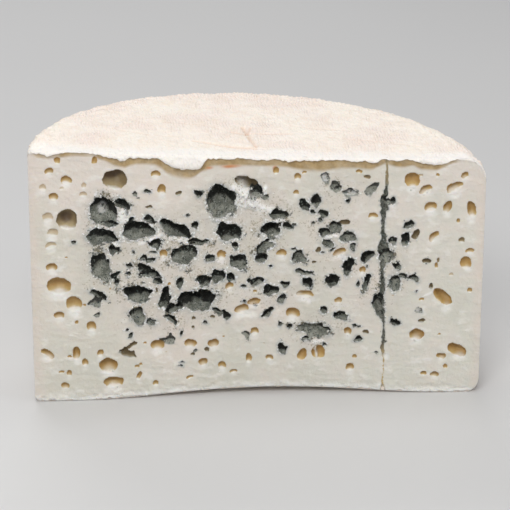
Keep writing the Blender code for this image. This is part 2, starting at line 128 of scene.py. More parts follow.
# Hollows of each kind: across, up, half width, half height, and where it leans, by how many degrees
HOLLOWS = {
    "blue": [
        (-56.8, 89.2, 3.9, 1.7, -28), (-50, 77, 7.2, 3.7), (-44.8, 82, 2.3, 1.4, -30),
        (-35, 77.4, 7.2, 2.9, -28), (-65.2, 74.2, 5.8, 3.2, -8), (-60.5, 68.6, 1.8, 2.1),
        (-67, 48.2, 4.2, 1.6, -35), (-42.6, 70.8, 2.6, 2.1), (-24.8, 71.6, 3.8, 1.6),
        (-20.3, 64.1, 2, 1.6), (-45.4, 63.2, 2.2, 1.3), (-46, 58.6, 5.6, 1.8, -28),
        (-50.2, 48.7, 5.5, 3.5), (-38.9, 46.2, 2.6, 4.3, -18), (-25.6, 45.3, 7.9, 4.5),
        (-33, 53.2, 1.9, 1.9), (-22.4, 53.5, 2.8, 2.4), (-16.9, 56, 2.9, 3.2), (-11.2, 55, 1.8, 2.1),
        (-36.2, 36.4, 2.6, 1.4, -45), (-15.3, 39.2, 3.9, 1.2, -17), (-12.3, 75.6, 5, 4.1),
        (7.9, 83.2, 3.7, 1.9), (5, 76, 4.6, 3.6), (12, 77.4, 1.9, 1.5), (1, 63.8, 2.2, 2.6, 10),
        (5.3, 48.9, 3.1, 2.2), (11, 51.4, 2.1, 1.5), (-0.8, 52.6, 3.2, 1.2, 22),
        (4, 38.8, 2.8, 1.4, 35), (19.6, 56.9, 3.2, 1.2, -10), (20.9, 52, 2.3, 2.1, -25),
        (19.6, 86.6, 2.2, 2.4), (24, 89, 1.7, 2.5), (26.8, 83.2, 1.9, 1.3, -18),
        (27.6, 74.4, 1.9, 1.8, 30), (37.9, 59, 2.2, 3.9), (31.4, 52.6, 2.3, 2.5),
        (46, 63.6, 2.6, 1.9, 40), (27.8, 39, 1.5, 1.6), (34.9, 36.2, 3.6, 1.8, 8),
        (56.2, 70.2, 1.4, 1.9), (58.6, 58.8, 1.7, 1.9, 25), (-10.9, 63.4, 0.9, 1.6, 20),
        (-6.6, 59.6, 1.9, 0.8, 15), (61.5, 71.2, 1.8, 2.5), (63.2, 77.6, 1.9, 1.5, 20),
        (65.6, 53.2, 2.2, 1.5, 12), (58, 33.3, 2.3, 1.4, -15), (43, 25.6, 1.7, 1.4),
        (10.2, 21.9, 1.6, 2.6), (-62.3, 80, 3.6, 1.2, -18), (-65.3, 82.2, 0.7, 0.7),
        (-54.8, 85, 0.7, 1.2), (-53, 82, 1.9, 1.3, 25), (-46, 94, 1.2, 0.8), (-25, 93, 1.3, 1.6),
        (-29.7, 83.2, 0.5, 0.5), (-25.9, 79, 1.4, 1.5), (-0.6, 94.8, 3, 1.8, -50),
        (15.2, 78.2, 0.7, 0.5), (37.5, 88.4, 0.9, 0.9), (25.7, 80.4, 0.8, 0.9), (23, 79, 0.5, 0.6),
        (22.8, 84, 1, 1), (56.5, 88.3, 1.2, 1.6), (-59.6, 57.4, 2, 1, 30), (-59.4, 54.5, 0.6, 2),
        (-77, 71.9, 1, 0.8), (-48.3, 64.5, 1.2, 1.2), (-47.6, 56.9, 2.4, 1.2),
        (-42, 54, 1.5, 1.5, -30), (-54.6, 57.6, 0.8, 1.2), (-54.3, 61.2, 1.2, 0.9),
        (-52, 67.3, 0.5, 0.7), (-44, 67.2, 1.8, 0.5), (-32.4, 70.8, 0.9, 0.4),
        (-35, 42.3, 4.5, 1.6, 22), (-9.6, 69.4, 1.4, 1.4), (14.6, 67.8, 1.1, 0.5), (5, 59.7, 0.7, 0.7),
        (-6.2, 50.7, 1, 0.6), (-3.7, 53, 0.9, 1), (0, 52.6, 2.2, 1.3, 25), (-6, 44.1, 0.6, 0.6),
        (-1.2, 42, 0.6, 0.3), (17, 57.2, 1.3, 0.9), (31.2, 67, 1.3, 0.5, 30), (26.9, 65.2, 0.8, 0.5),
        (41.9, 51, 0.7, 1.2), (46, 59, 0.5, 0.5), (-13, 36.7, 1.4, 1.5), (-53.7, 29.7, 0.9, 1.1),
        (-55.4, 31.8, 0.8, 0.6), (-38, 38, 1.2, 0.8), (-35.5, 36.5, 1, 1), (-34.6, 34.5, 0.7, 1.2),
        (-32.3, 30, 0.7, 1.2), (-21.9, 34.5, 0.8, 0.7), (-32.3, 16.3, 0.7, 0.4),
        (-32.7, 14.3, 0.9, 0.4), (9.5, 32.7, 0.8, 1.3, 20), (13.5, 32, 1.2, 0.8),
        (20.3, 26.2, 1.3, 0.8), (28.5, 23, 0.8, 0.6), (41.2, 32, 0.8, 0.7), (43, 31.5, 0.7, 0.4),
        (61.2, 54.4, 1.8, 1, -20), (67.2, 47.2, 0.4, 0.4), (71.3, 61.3, 0.5, 0.5),
    ],
    "smoky": [
        (-64.5, 86, 5.6, 5.6, -10), (-65.6, 60.8, 4, 6.2, 22), (-51, 38.2, 3.3, 4),
        (-45, 35.2, 2.3, 1.8, 15), (-15.5, 88.6, 5.9, 6.6), (2.6, 68.9, 4.4, 2, 38),
        (17.2, 63.5, 3, 2.7, 20), (28.9, 69.6, 2.5, 2), (37.4, 72.6, 3, 2, 15),
        (24.2, 30.4, 6.8, 2.6, -12), (32, 77.2, 2.6, 2.6), (45.5, 51.4, 1.3, 4, -28),
        (57.8, 51.2, 2.5, 3.4), (39.8, 68, 1.4, 1.8), (9.8, 44.2, 1.8, 2.2), (-31.2, 65, 5.6, 4.4),
        (54, 63.6, 3.5, 2.6), (51, 41.5, 2.4, 4), (-8.2, 62, 3.4, 3.4),
    ],
    "grey": [
        (28.2, 98.4, 1.8, 2), (32.2, 95.2, 1.9, 1.9), (38.6, 92.3, 3.3, 1.7), (47.4, 93, 2.3, 2.4),
        (-1.6, 91.8, 2.6, 2.6), (-2.5, 90.5, 1.8, 2.5), (2.5, 91, 2, 1.5), (32.6, 93.7, 2.2, 1.7),
        (53.5, 88, 1.6, 1.8), (-51, 93, 1, 1), (-49.7, 91.2, 0.8, 0.5), (-67.6, 45.4, 2.2, 1.9),
        (-69, 46, 2, 1.2, 40), (-68, 39.3, 1.2, 1), (-57.2, 22, 1.5, 1), (-38, 27.5, 3, 2),
        (-26.4, 21.5, 1, 0.7), (-4.8, 28.2, 1.6, 2), (24, 28, 3.6, 2.2), (50.8, 19.2, 1, 0.7),
        (67.6, 38.1, 1.5, 1.6),
    ],
    "olive": [
        (-4.8, 97.2, 6, 2.1, -12), (-33.3, 93.2, 1.4, 0.9), (-45.6, 87.4, 1.3, 0.8),
        (-42.6, 50, 0.5, 1.4), (23.7, 61.4, 1, 0.7), (-19, 36.8, 1.3, 0.7), (-53, 25.2, 2.5, 1, 30),
        (-27.5, 36.3, 0.8, 0.8), (-21.8, 21.8, 1.2, 1.1), (46.2, 28.8, 1.3, 0.9, -25),
        (36, 79, 2, 1.1), (25, 66.7, 1, 0.8), (73.2, 49.3, 1.3, 1.3), (-27.2, 32.2, 0.9, 0.8),
        (-27.6, 19.7, 1.1, 0.7), (69.6, 33.7, 1.4, 0.9), (71, 60, 1.6, 1.3), (-55.2, 21.2, 3.1, 1.8),
        (66.2, 73, 1.7, 2.2),
    ],
    "eye": [
        (-83.6, 52.7, 5, 3.8), (-77.3, 44.5, 3.3, 3.3), (-79.5, 99.3, 2.3, 1.9),
        (-84.7, 92.4, 1.9, 1.7), (-86.3, 61.2, 2.3, 1.8), (-83.7, 39.5, 2.1, 1.5), (-70, 34, 2, 2.3),
        (-89.2, 22, 3.3, 1.7, -32), (-77, 22, 1.6, 3), (-73.5, 17.5, 1.3, 1.8),
        (-63.4, 15.9, 3.9, 3.2), (-61.4, 8.2, 4.1, 2.4), (-42.5, 101.6, 1.8, 1.6),
        (-40, 94.6, 1.7, 2.4), (-39.7, 66.2, 1.5, 2.1), (-42.6, 24.6, 2.8, 2.5), (-28.5, 25, 2.5, 1.9),
        (-18.8, 24.6, 2.2, 1.9), (-23.3, 16, 2.1, 1.6, 10), (-15.3, 65.2, 1.9, 2.2),
        (-6.8, 40.4, 3, 2, 15), (9.8, 65.8, 2, 1.8), (19.8, 46.6, 3.6, 1.8), (14.8, 38, 3, 2.6),
        (-1.4, 30, 1.9, 1.9), (-15, 14, 1.8, 1.9), (-3.8, 17.4, 1.3, 2.3), (39.6, 12, 1.6, 1.8),
        (38.2, 29.1, 1.7, 1.8), (34.2, 65.2, 2.9, 1.7, 30), (48, 81.3, 1.9, 1.4),
        (69.8, 92.9, 2.9, 1.7, 35), (81.6, 93.3, 3.2, 1.9, 40), (71.8, 84.8, 2.7, 2.1, 10),
        (79.2, 84.6, 1.7, 2.7, -22), (89.2, 83.4, 1.9, 3.8, 12), (73.6, 71.8, 2.7, 1.7, 45),
        (67.6, 27, 3, 2.5, -20), (78.4, 17, 2, 1.4, -12), (75.7, 8.4, 1.8, 1.3),
        (-86.3, 103.6, 1.6, 1.6), (16, 99.2, 1.4, 1.6), (15.6, 92.3, 1.3, 1.2), (18.8, 101.2, 1, 0.6),
        (41.7, 101.2, 1.3, 0.8), (74.5, 99.1, 0.8, 0.6), (80.2, 92.8, 1.8, 2.2),
        (83.2, 94, 2.4, 1.5, 40), (86, 98.6, 1.7, 1.3, 35), (83.8, 78.5, 0.8, 1),
        (-80, 65.5, 0.6, 0.4), (-73, 44, 0.7, 0.6), (-62.3, 51, 0.5, 0.5), (-37.3, 52.8, 0.7, 0.6),
        (-12.3, 51.1, 1.9, 1.5, 20), (-1.7, 43.6, 2.8, 1.5, 12), (-1.2, 48.5, 0.8, 0.6),
        (43.9, 57, 1.3, 1.6), (33.9, 43.4, 1.5, 1.2), (89, 65, 1.8, 1.2), (75, 58.5, 0.7, 1.3),
        (69.4, 43.3, 1.1, 0.7), (89.8, 47, 1, 1.2), (57.2, 45.4, 0.6, 0.4), (-76.5, 36.2, 0.8, 0.9),
        (-79.8, 20.5, 1, 0.6), (-66.8, 21.6, 1.3, 1.8), (-80, 12.8, 1.1, 1.4), (-83.3, 13.4, 1.2, 0.6),
        (-82, 7.2, 1.7, 1.3), (-48, 25.8, 0.7, 0.6), (-51.4, 15.2, 1, 0.7), (-49.8, 16.2, 0.8, 0.5),
        (-50.5, 10.6, 0.9, 2.4, -20), (-43.5, 6.8, 1.1, 1.4), (-28.9, 8.9, 1.6, 0.8, 18),
        (-39.1, 21.4, 0.5, 0.3), (-14.4, 27.6, 0.5, 0.5), (2.8, 24.1, 0.3, 0.3), (5.2, 17.2, 1.7, 1.3),
        (-10.4, 10.8, 1.7, 0.9, 8), (41.2, 17.2, 1, 0.9), (80.3, 12.2, 0.9, 1), (71, 9, 1.4, 1),
        (77.2, 27.2, 0.7, 0.5),
    ],
    "brown": [
        (-59.5, 99.5, 4.9, 4.3, -8), (-79.6, 82.3, 4.3, 4.5), (45, 98.7, 1.5, 0.8, -20),
        (85.4, 69.9, 1.2, 1.2), (75.8, 61, 0.7, 1.1),
    ],
    "orange": [
        (-82.8, 108.2, 1.2, 1.4), (-67.6, 107.8, 1.1, 1.5), (7.2, 102, 1.2, 1.6),
        (87.6, 59.4, 2.4, 2.7), (64.1, 96.9, 3, 3.2), (78.2, 44.2, 4.8, 2.7, -42),
        (84.9, 19.6, 4.4, 2.5, -26), (19, 18.5, 1.9, 2.8, -22), (25.8, 19.7, 2.8, 3.1),
    ],
    "faint": [
        (-87.5, 83.3, 2, 2.3), (-85.5, 76.8, 2.3, 1.9), (-86.5, 71, 2.4, 1.6, 12), (-81.2, 96, 1, 0.8),
        (-89.2, 96.5, 1.3, 1.5), (-72.2, 97, 1, 1.5), (-72.5, 93.2, 1.6, 1.2), (67.5, 98.7, 1.2, 0.6),
        (81.5, 54.3, 1, 0.8),
    ],
}

# The channel that the piercing needle left, from the foot up: up, across, half width, mould, brown
CHANNEL = [
    (-3, 53.6, 1.1, 0, 0.3), (3, 53.6, 0.7, 0, 0.3), (6, 53.5, 0.3, 0, 0.2), (10, 53.8, 0.25, 0, 0.2),
    (15, 53.8, 0.3, 0, 0.3), (19, 53.6, 0.5, 0.2, 0.9), (22, 53.2, 0.9, 0.4, 1),
    (24, 53.5, 1.2, 0.6, 1), (26, 53.2, 0.85, 0.6, 1), (29, 53.4, 0.55, 0.7, 0.8),
    (33, 53.5, 0.4, 0.9, 0.2), (36, 52.3, 1, 1, 0), (38, 52, 1.9, 1, 0), (42, 51, 2.1, 1, 0),
    (45, 51.5, 1.7, 1, 0), (47, 52.5, 0.95, 1, 0), (50, 52.8, 1.1, 1, 0), (53, 52.4, 0.9, 1, 0),
    (57, 52.4, 0.65, 1, 0), (60, 52.3, 1, 1, 0), (64, 53.4, 2.9, 1, 0), (67, 52.4, 2, 1, 0),
    (70, 52.4, 1.1, 1, 0), (76, 52.3, 0.9, 1, 0), (82, 52.3, 1.1, 1, 0), (88, 52.5, 1.2, 1, 0),
    (93, 53.3, 0.8, 0.8, 0.3), (96, 53.3, 0.5, 0.3, 1), (104, 53.3, 0.45, 0.2, 1),
    (112, 53.4, 0.6, 0, 1),
]

# Smooth or crumbly white curd that stands out: across, up, half width, half height, lean, how far out
MOUNDS = [
    (-64.6, 84.1, 1.4, 1.2, 15, 2), (-56.8, 83.2, 2.2, 3.6, -30, 0.6), (-6.2, 91.2, 2.6, 6, 8, 2),
    (-9.6, 94.6, 1.6, 2.2, 30, 1.2), (-3.4, 87, 2.6, 1.8, -20, 1.2), (2.4, 93.4, 1, 2.4, -20, 1.4),
    (0.5, 86.2, 5.5, 1.6, -8, 0.7), (25.3, 19.4, 0.5, 2.7, -4, 2.6), (25, 24.6, 3.2, 0.8, 0, 0.7),
    (31, 72.6, 2.8, 0.8, 4, 0.8), (8.2, 80.2, 3, 0.9, 0, 0.8), (38.6, 91.7, 2.3, 0.7, 0, 0.9),
    (55.6, 85.9, 1.6, 0.7, 25, 0.7), (-44, 72.8, 6, 0.8, 22, 0.5), (-34.5, 72.6, 4.6, 0.8, -12, 0.4),
    (28.2, 98, 1, 1.1, 0, 0.8), (-60, 70.9, 1.4, 1, 0, 0.6), (-2, 88.4, 3, 2, 0, 0.8),
    (71.8, 45.2, 2, 0.5, 30, 0.4), (67.4, 38.4, 0.9, 0.9, 0, 0.6),
]

# Flat places under eyes painted white as lit, where light falls on their sloping floors: across, up, half
# width, height
FLOORS = [
    (-5, 38.3, 4.2, 1.8), (21.3, 43.6, 1.6, 1.8), (17, 46.2, 2.2, 1.2), (54.6, 17.2, 2, 1.8),
    (-78.5, 47.5, 2.2, 1.6), (80, 39, 2.6, 2.4), (14.6, 35.6, 2.6, 1.4), (86, 16.4, 4, 1.4),
    (64, 93, 2.6, 1.4), (82.2, 89.6, 2.6, 1.4), (78.4, 82, 1.8, 1.4), (88.6, 56.6, 1.8, 1.4),
]

# Dark spots on the floors of brown eyes: across, up, half width, half height
SPOTS = [(-79.8, 81.8, 1.9, 1.5), (-60.4, 100.2, 2.6, 1.6)]

# Orange stains under the rind: across, up, half width, half height
STAINS = [(-12.0, 104.3, 4.2, 0.9), (-20.5, 103.8, 2.4, 0.8), (6.8, 103.6, 1.0, 1.0)]

# Faint lines that the knife scored into the cut face: half width, depth, then places across and up
SCORES = [
    (0.5, 0.22, [(-38, 80), (-29, 83), (-18, 88)]),
    (0.5, 0.22, [(3, 98.5), (11, 97), (21, 94)]),
    (0.6, 0.16, [(-68, 100), (-52, 97.5), (-44, 96)]),
    (0.6, 0.16, [(-70, 96), (-58, 92.5)]),
    (0.6, 0.15, [(60, 78), (72, 66), (80, 60)]),
    (0.6, 0.15, [(-88, 30), (-74, 27), (-60, 29)]),
    (0.6, 0.14, [(-48, 14), (-30, 12), (-12, 7)]),
    (0.6, 0.14, [(8, 12), (26, 8), (44, 7)]),
]

# Lower edge of the white rind over the cut face, and of the band under it, tan paste in the lip's painted
# shadow: across, up
LIP_EDGE = [
    (-95, 111.4), (-90, 111.3), (-87, 110.5), (-85, 110.6), (-82, 111), (-80, 112), (-75, 111.8),
    (-70, 111.2), (-65, 110.4), (-62, 109), (-58, 108.3), (-55.5, 107.5), (-53, 109), (-50, 108.7),
    (-42, 108.7), (-41, 108.3), (-40, 107.3), (-38, 105.8), (-36, 104.9), (-33, 104.1), (-30, 103.6),
    (-27, 103.3), (-25, 103.6), (-23.5, 104.5), (-22.6, 106), (-21.6, 107.8), (-20, 108), (-15, 107.5),
    (-10, 107.8), (-5, 107.7), (0, 107.2), (3, 106.7), (5, 107.3), (10, 106.7), (12, 106), (15, 106.3),
    (25, 106.3), (30, 106.5), (34, 106.6), (37, 106.3), (37.5, 105.2), (42, 105.2), (44, 106),
    (46, 105.4), (49, 105.4), (51, 106.5), (53, 107), (55, 106), (58, 105.5), (62, 106), (65, 105.5),
    (67, 104.5), (70, 103.6), (75, 103.5), (78, 104), (79, 105.2), (81, 105.9), (85, 105.3),
    (88, 104.8), (90, 104.1), (92, 102.6), (93, 101.5), (94, 99.8), (95, 95.5),
]
BAND_EDGE = [
    (-95, 110.5), (-90, 109.5), (-87, 109), (-75, 110), (-68, 109.5), (-63, 107.5), (-60, 105.5),
    (-57, 104.8), (-54.5, 104.5), (-52, 106), (-45, 105.8), (-41, 105.3), (-38, 102), (-35, 100.5),
    (-30, 99.3), (-27, 99.8), (-24, 101.5), (-21, 104), (-20, 104.7), (-8, 104.7), (0, 104.3),
    (4, 104.2), (10, 103.8), (15, 103), (20, 102), (25, 101.5), (30, 102), (35, 102.8), (40, 102.6),
    (47, 101.8), (49, 103), (52, 104.5), (56, 103), (60, 102.5), (64, 103.5), (67, 101.5), (75, 101),
    (78, 102.5), (80, 104), (85, 104.4), (88, 104), (90, 103.4), (92, 101.9), (93, 100.8), (94, 99.1),
    (95, 94.8),
]

# Creases pressed into the top: half width, depth, then places across and back
CREASES = [
    (0.90, 1.00, [(-26, -26), (-17, -30), (-9, -33), (-1, -34.5)]),
    (0.70, 0.95, [(-4.5, -6), (-3.0, -17), (-0.3, -32)]),
    (0.60, 0.85, [(-9.5, -13), (-4.0, -16.5)]),
    (0.60, 0.85, [(-3.2, -16), (-1.0, -6)]),
    (0.60, 0.60, [(-3.0, -15), (16, -14.5)]),
    (0.55, 0.35, [(30, -18), (52, -24), (70, -30)]),
    (0.55, 0.30, [(-60, -12), (-44, -20), (-30, -21)]),
    (0.50, 0.35, [(14, -2), (26, -7), (41, -9)]),
    (0.50, 0.30, [(-38, -2), (-22, -4), (-14, -9)]),
]


# Noise

def hashed(column, row, layer, seed):
    """Number from -1 to 1 for a whole-number corner: its places times primes, with the bits mixed."""
    mixed = (column * 374761393 + row * 668265263 + layer * 1274126177 + seed * 974634777) & 0xFFFFFFFF
    mixed = ((mixed ^ (mixed >> 13)) * 1103515245) & 0xFFFFFFFF
    mixed = ((mixed ^ (mixed >> 16)) * 2246822519) & 0xFFFFFFFF
    return (mixed ^ (mixed >> 15)) / 2147483648.0 - 1.0


def drift(x, y, z, seed):
    """Smooth noise from -1 to 1: the corners of a unit grid blended each way by 6t^5 - 15t^4 + 10t^3."""
    x, y, z = np.broadcast_arrays(x, y, z)
    corner = [np.floor(part).astype(np.int64) for part in (x, y, z)]
    share = [part - whole for part, whole in zip((x, y, z), corner)]
    blend = [t * t * t * (t * (t * 6.0 - 15.0) + 10.0) for t in share]
    total = 0.0
    for step in range(8):
        ahead = (step & 1, step >> 1 & 1, step >> 2)
        weight = 1.0
        for part, move in zip(blend, ahead):
            weight = weight * (part if move else 1.0 - part)
        total = total + weight * hashed(*[whole + move for whole, move in zip(corner, ahead)], seed)
    return total


def noise(place, size, seed, layers=1):
    """Smooth noise from -1 to 1 at a place (x, y, z) over a size. Each layer has twice the frequency
    and half the strength of the one before, and the sum is divided by the sum of the strengths."""
    place = [part / size for part in place]
    total = 0.0
    for layer in range(layers):
        total = total + drift(*[part * 2 ** layer for part in place], seed + layer) / 2 ** layer
    return total / (2.0 - 0.5 ** (layers - 1))


def tumbled(x, y, z):
    """A place on axes turned away from the piece's own, so that no noise grid shows."""
    return 0.80 * x + 0.46 * y - 0.38 * z, 0.85 * y - 0.52 * x - 0.07 * z, 0.29 * x + 0.25 * y + 0.92 * z


def smooth(low, high, value):
    """0 at low, 1 at high, 3t^2 - 2t^3 between and level beyond; high may be the lower number."""
    t = np.clip((value - low) / (high - low), 0.0, 1.0)
    return t * t * (3.0 - 2.0 * t)


# Lines and ovals

def along_list(across, places):
    """Height at each place across from a list of places, with the list's corners rounded: the mean
    of five readings up to a millimetre to either side."""
    table = np.array(places).T
    return sum(np.interp(across + move, *table) for move in (-1.0, -0.5, 0.0, 0.5, 1.0)) / 5.0


def path_distance(x, y, path):
    """Distance of each place to a line through points, the nearest of its straight parts, with up to
    half a millimetre of wobble away from the line."""
    nearest = np.full(x.shape, 99.0)
    for (x0, y0), (x1, y1) in zip(path[:-1], path[1:]):
        length = math.hypot(x1 - x0, y1 - y0)
        along = np.clip(((x - x0) * (x1 - x0) + (y - y0) * (y1 - y0)) / length ** 2, 0.0, 1.0)
        nearest = np.minimum(nearest, np.hypot(x - x0 - along * (x1 - x0), y - y0 - along * (y1 - y0)))
    return np.abs(nearest + 0.5 * noise((x, y, 0.0), 4.0, 68) * smooth(0.0, 2.0, nearest))


def pressed(x, y, lines):
    """Depth of the lines of a list at each place: each is e to minus (distance / half width) squared."""
    return sum(depth * np.exp(-(path_distance(x, y, path) / half) ** 2) for half, depth, path in lines)


def in_oval(beside, above, half, half_up, lean=0.0):
    """Place from an oval's middle, turned by its lean in degrees and divided by its half sizes."""
    cos, sin = math.cos(math.radians(lean)), math.sin(math.radians(lean))
    return (beside * cos + above * sin) / half, (above * cos - beside * sin) / half_up


def patches_at(across, up, places, outer, inner, uneven=0.0):
    """Strength of the ovals of a list at each place, the strongest of them: 0 at outer times an oval's
    half sizes and 1 at inner times them."""
    strength = np.zeros(across.shape)
    for middle, height, half, half_up in places:
        share = np.hypot(*in_oval(across - middle, up - height, half, half_up))
        strength = np.maximum(strength, smooth(outer, inner, share + uneven))
    return strength


# The form of the wheel

def top_height(across):
    """Height of the top: it falls from the left side to the right, with a slight curve."""
    share = across / RADIUS
    return HEIGHT + TOP_SLOPE * share + TOP_SAG * share * share


def shoulder_radius(across):
    """Rounding between top and wall, which grows evenly to the right."""
    return SHOULDER + SHOULDER_CHANGE * across / RADIUS


def heel_radius(across):
    """Rounding between wall and underside, which grows evenly to the right."""
    return HEEL + HEEL_CHANGE * across / RADIUS


def half_width(inset):
    """Half of the cut's width on a wheel that is smaller by inset all round."""
    return math.sqrt((RADIUS - inset) ** 2 - CUT_BEHIND_AXIS ** 2)


def rim_behind(across, inset):
    """How far behind the cut the outer edge lies on a wheel that is smaller by inset all round."""
    from_axis = np.maximum((RADIUS - inset) ** 2 - across ** 2, CUT_BEHIND_AXIS ** 2)
    return np.sqrt(from_axis) - CUT_BEHIND_AXIS


def fade(distance, reach):
    """1 at no distance, falling as the square of what is left of the reach."""
    return np.maximum(0.0, 1.0 - distance / reach) ** 2


def arch_share(across):
    """Share of the full arch at a place across the face: 1 in its middle, 0 at both ends."""
    share = (across - ARCH_MIDDLE) / ARCH_REACH
    return np.maximum(0.0, 1.0 - share * share) ** 2


def arch_lift(across, level, behind):
    """How far a place has moved up because the underside is arched in the middle of the cut."""
    return ARCH_HEIGHT * arch_share(across) * fade(behind, ARCH_DEPTH) * fade(level, ARCH_FADE)


def dish_depth(across, level, behind):
    """How far a place has moved back because the cut face is slightly hollow."""
    return DISH * arch_share(across) * fade(behind, DISH_DEPTH) * fade(level, DISH_FADE)


def settled(across, behind, level):
    """Places of the plain cut wheel, moved back by the dish and up by the arch, as (..., 3)."""
    back = FACE_Y + behind + dish_depth(across, level, behind)
    up = level + arch_lift(across, level, behind)
    return np.stack(np.broadcast_arrays(across, back, up), axis=-1)


def corner_drop(across, rounding, inset):
    """How far a rounded corner lies below the flat top, or above the flat foot, at the cut face."""
    into = np.clip(rounding - (half_width(inset) - np.abs(across)), 0.0, rounding)
    return rounding - np.sqrt(np.maximum(rounding ** 2 - into ** 2, 0.0))


def face_top(across, inset=0.0):
    """Height of the cut face's upper edge."""
    return top_height(across) - corner_drop(across, shoulder_radius(across), inset) - inset


def face_foot(across, inset=0.0):
    """Height of the cut face's lower edge, before the arch lifts it."""
    return corner_drop(across, heel_radius(across), inset) + inset


def rounded_run(across, inset, rounding, rows, bunch):
    """Run from the cut over a flat and round its outer edge, rows by columns: how far behind the cut,
    how far below the flat, and the outward normal. With u from 1 at the cut to 0 at the outer edge, a
    row lies u u (1 + b) / (u + b) of the way from the edge, so that rows bunch there; the sine of its
    turn is how far it lies beyond the flat, over the rounding."""
    left = np.linspace(1.0, 0.0, rows)[:, None]
    behind = rim_behind(across, inset) * (1.0 - left * left * (1.0 + bunch) / (left + bunch))
    from_axis = CUT_BEHIND_AXIS + behind
    ring = np.hypot(across, from_axis)
    lean = np.clip((ring - RADIUS + inset + rounding) / rounding, 0.0, 1.0)
    level = np.sqrt(1.0 - lean ** 2)
    normal = np.stack([lean * across / ring, lean * from_axis / ring, level], axis=-1)
    return behind, rounding * (1.0 - level), normal


def skin(shares, inset, row_counts):
    """The wheel's surface moved inwards by inset, from the cut over the top, down the wall and back to
    the cut underneath: places (across, behind, level) and normals, rows by columns. Columns stand at
    shares of the cut's half width, and each keeps its place across all the way round."""
    top_rows, wall_rows, foot_rows = row_counts
    across = shares * half_width(inset)
    shoulder = np.maximum(shoulder_radius(across) - inset, LEAST_ROUNDING)
    heel = np.maximum(heel_radius(across) - inset, LEAST_ROUNDING)
    top = top_height(across) - inset
    behind, drop, normal = rounded_run(across, inset, shoulder, top_rows, TOP_BUNCH)
    over_top = (behind, top - drop, normal)

    edge = rim_behind(across, inset)
    share = np.linspace(0.0, 1.0, wall_rows + 2)[1:-1, None]
    normal = np.stack([across, edge + CUT_BEHIND_AXIS, 0.0 * across], axis=-1) / (RADIUS - inset)
    down_wall = (edge + 0.0 * share, (top - shoulder) * (1.0 - share) + (heel + inset) * share,
                 np.broadcast_to(normal, (wall_rows, *normal.shape)))

    behind, drop, normal = rounded_run(across, inset, heel, foot_rows, FOOT_BUNCH)
    underneath = (behind[::-1], drop[::-1] + inset, normal[::-1] * (1.0, 1.0, -1.0))
    behind, level, normal = (np.concatenate(parts) for parts in zip(over_top, down_wall, underneath))
    return np.broadcast_to(across, behind.shape), behind, level, normal


def even_columns(count, ends):
    """Shares from -1 to 1 whose steps shrink smoothly to a fifth over the last ends of them."""
    place = np.arange(count - 1)
    near = np.minimum(place, count - 2 - place) / ends
    steps = 0.2 + 0.8 * smooth(0.0, 1.0, near)
    return np.concatenate([[0.0], np.cumsum(steps)]) / steps.sum() * 2.0 - 1.0


# The cut face

def ball_section(share, opening):
    """Section of a ball that opens on the face, at a share s of its half width. With t = s times the
    opening turn T, its depth is (cos t - cos T) / (1 - cos T) of the whole, and a place on it lies
    further out by sin t / sin T / s - 1 of its distance."""
    inside = np.clip(share, 0.001, 1.0)
    turn = inside * opening
    sink = (np.cos(turn) - np.cos(opening)) / (1.0 - np.cos(opening))
    return sink, np.sin(turn) / np.sin(opening) / inside - 1.0


def gather(sums, near, depth, moved, climb, within, spread, tints):
    """Add one hollow to the sums at the places near it. Its shifts count by the fourth power of its
    depth, so that the deeper of two hollows leads. Its tints count by e to 2.2 times the millimetres
    within its rim. Its halo is its mould, and falls to 1/e over the spread outside the rim."""
    power = depth ** 4
    for name, value in (("power", 1.0), ("side", moved[0]), ("lift", moved[1]), ("climb", climb)):
        sums[name][near] += power * value
    weight = np.exp(np.clip(within, -4.0, 3.0) * 2.2)
    sums["weight"][near] += weight
    for name, value in tints.items():
        sums[name][near] += weight * value
    halo = tints["mould"] * np.exp(-np.clip(-within, 0.0, None) / spread)
    for name, value in (("strongest", power), ("edge", within), ("halo", halo)):
        sums[name][near] = np.maximum(sums[name][near], value)


def add_hollow(sums, across, up, wander, kind, place, chances):
    """Add one hollow of a kind: part of a ball that opens at its place, with lobes and a wandering rim
    where its kind is ragged. Its opening turn is over a right angle at the roof, which overhangs, and
    less at the floor, which slopes."""
    depth_share, ragged, climb, floor_turn, mould, ochre, brown, roof_shade_shift = kind
    middle, height, half, half_up, *lean = place
    luck, *phases = chances
    size = math.sqrt(half * half_up)
    reach = max(half, half_up) * 1.2 + 3.6
    near = np.nonzero((np.abs(across - middle) < reach) & (np.abs(up - height) < reach))
    loose = ragged * min(1.0, 0.25 + size / 3.2)
    beside = across[near] - middle + loose * wander[0][near]
    above = up[near] - height + loose * wander[1][near]
    along, over = in_oval(beside, above, half, half_up, *lean)
    bearing = np.arctan2(over, along)
    lobes = sum(part * np.sin(folds * bearing + math.pi * phase)
                for (part, folds), phase in zip(LOBES, phases))
    share = np.hypot(along, over) * (1.0 + ragged ** 1.5 * lobes)
    low = smooth(0.5, -0.6, over / np.maximum(share, 0.001))
    sink, widen = ball_section(share, OPEN_TURN + (math.radians(floor_turn) - OPEN_TURN) * low)
    depth = min(depth_share * size * (1.0 + 0.15 * luck), DEEPEST) * sink
    # the roof tint sets painted shade: higher in a hollow is painted darker, lower floors lighter as lit
    tints = {"mould": mould, "ochre": ochre, "brown": brown, "roof": over + 0.16 * luck + roof_shade_shift}
    gather(sums, near, depth, (beside * widen, above * widen), climb,
           (1.0 - share) * size, 0.8 + 0.30 * size, tints)
    if floor_turn < LIT_FLOOR_TURN and size > 1.2:
        below = np.hypot(beside / (0.85 * half + 0.2),
                         (above + 1.02 * half_up + 0.3) / (0.45 * half_up + 0.6))
        lit = smooth(1.5, 0.3, below) * min(1.0, size / 2.4)
        sums["glow"][near] = np.maximum(sums["glow"][near], lit)
    if mould > 0.5:
        apart = (across - middle) ** 2 + (up - height) ** 2
        sums["zone"] += size * size * np.exp(-apart / ZONE_REACH)


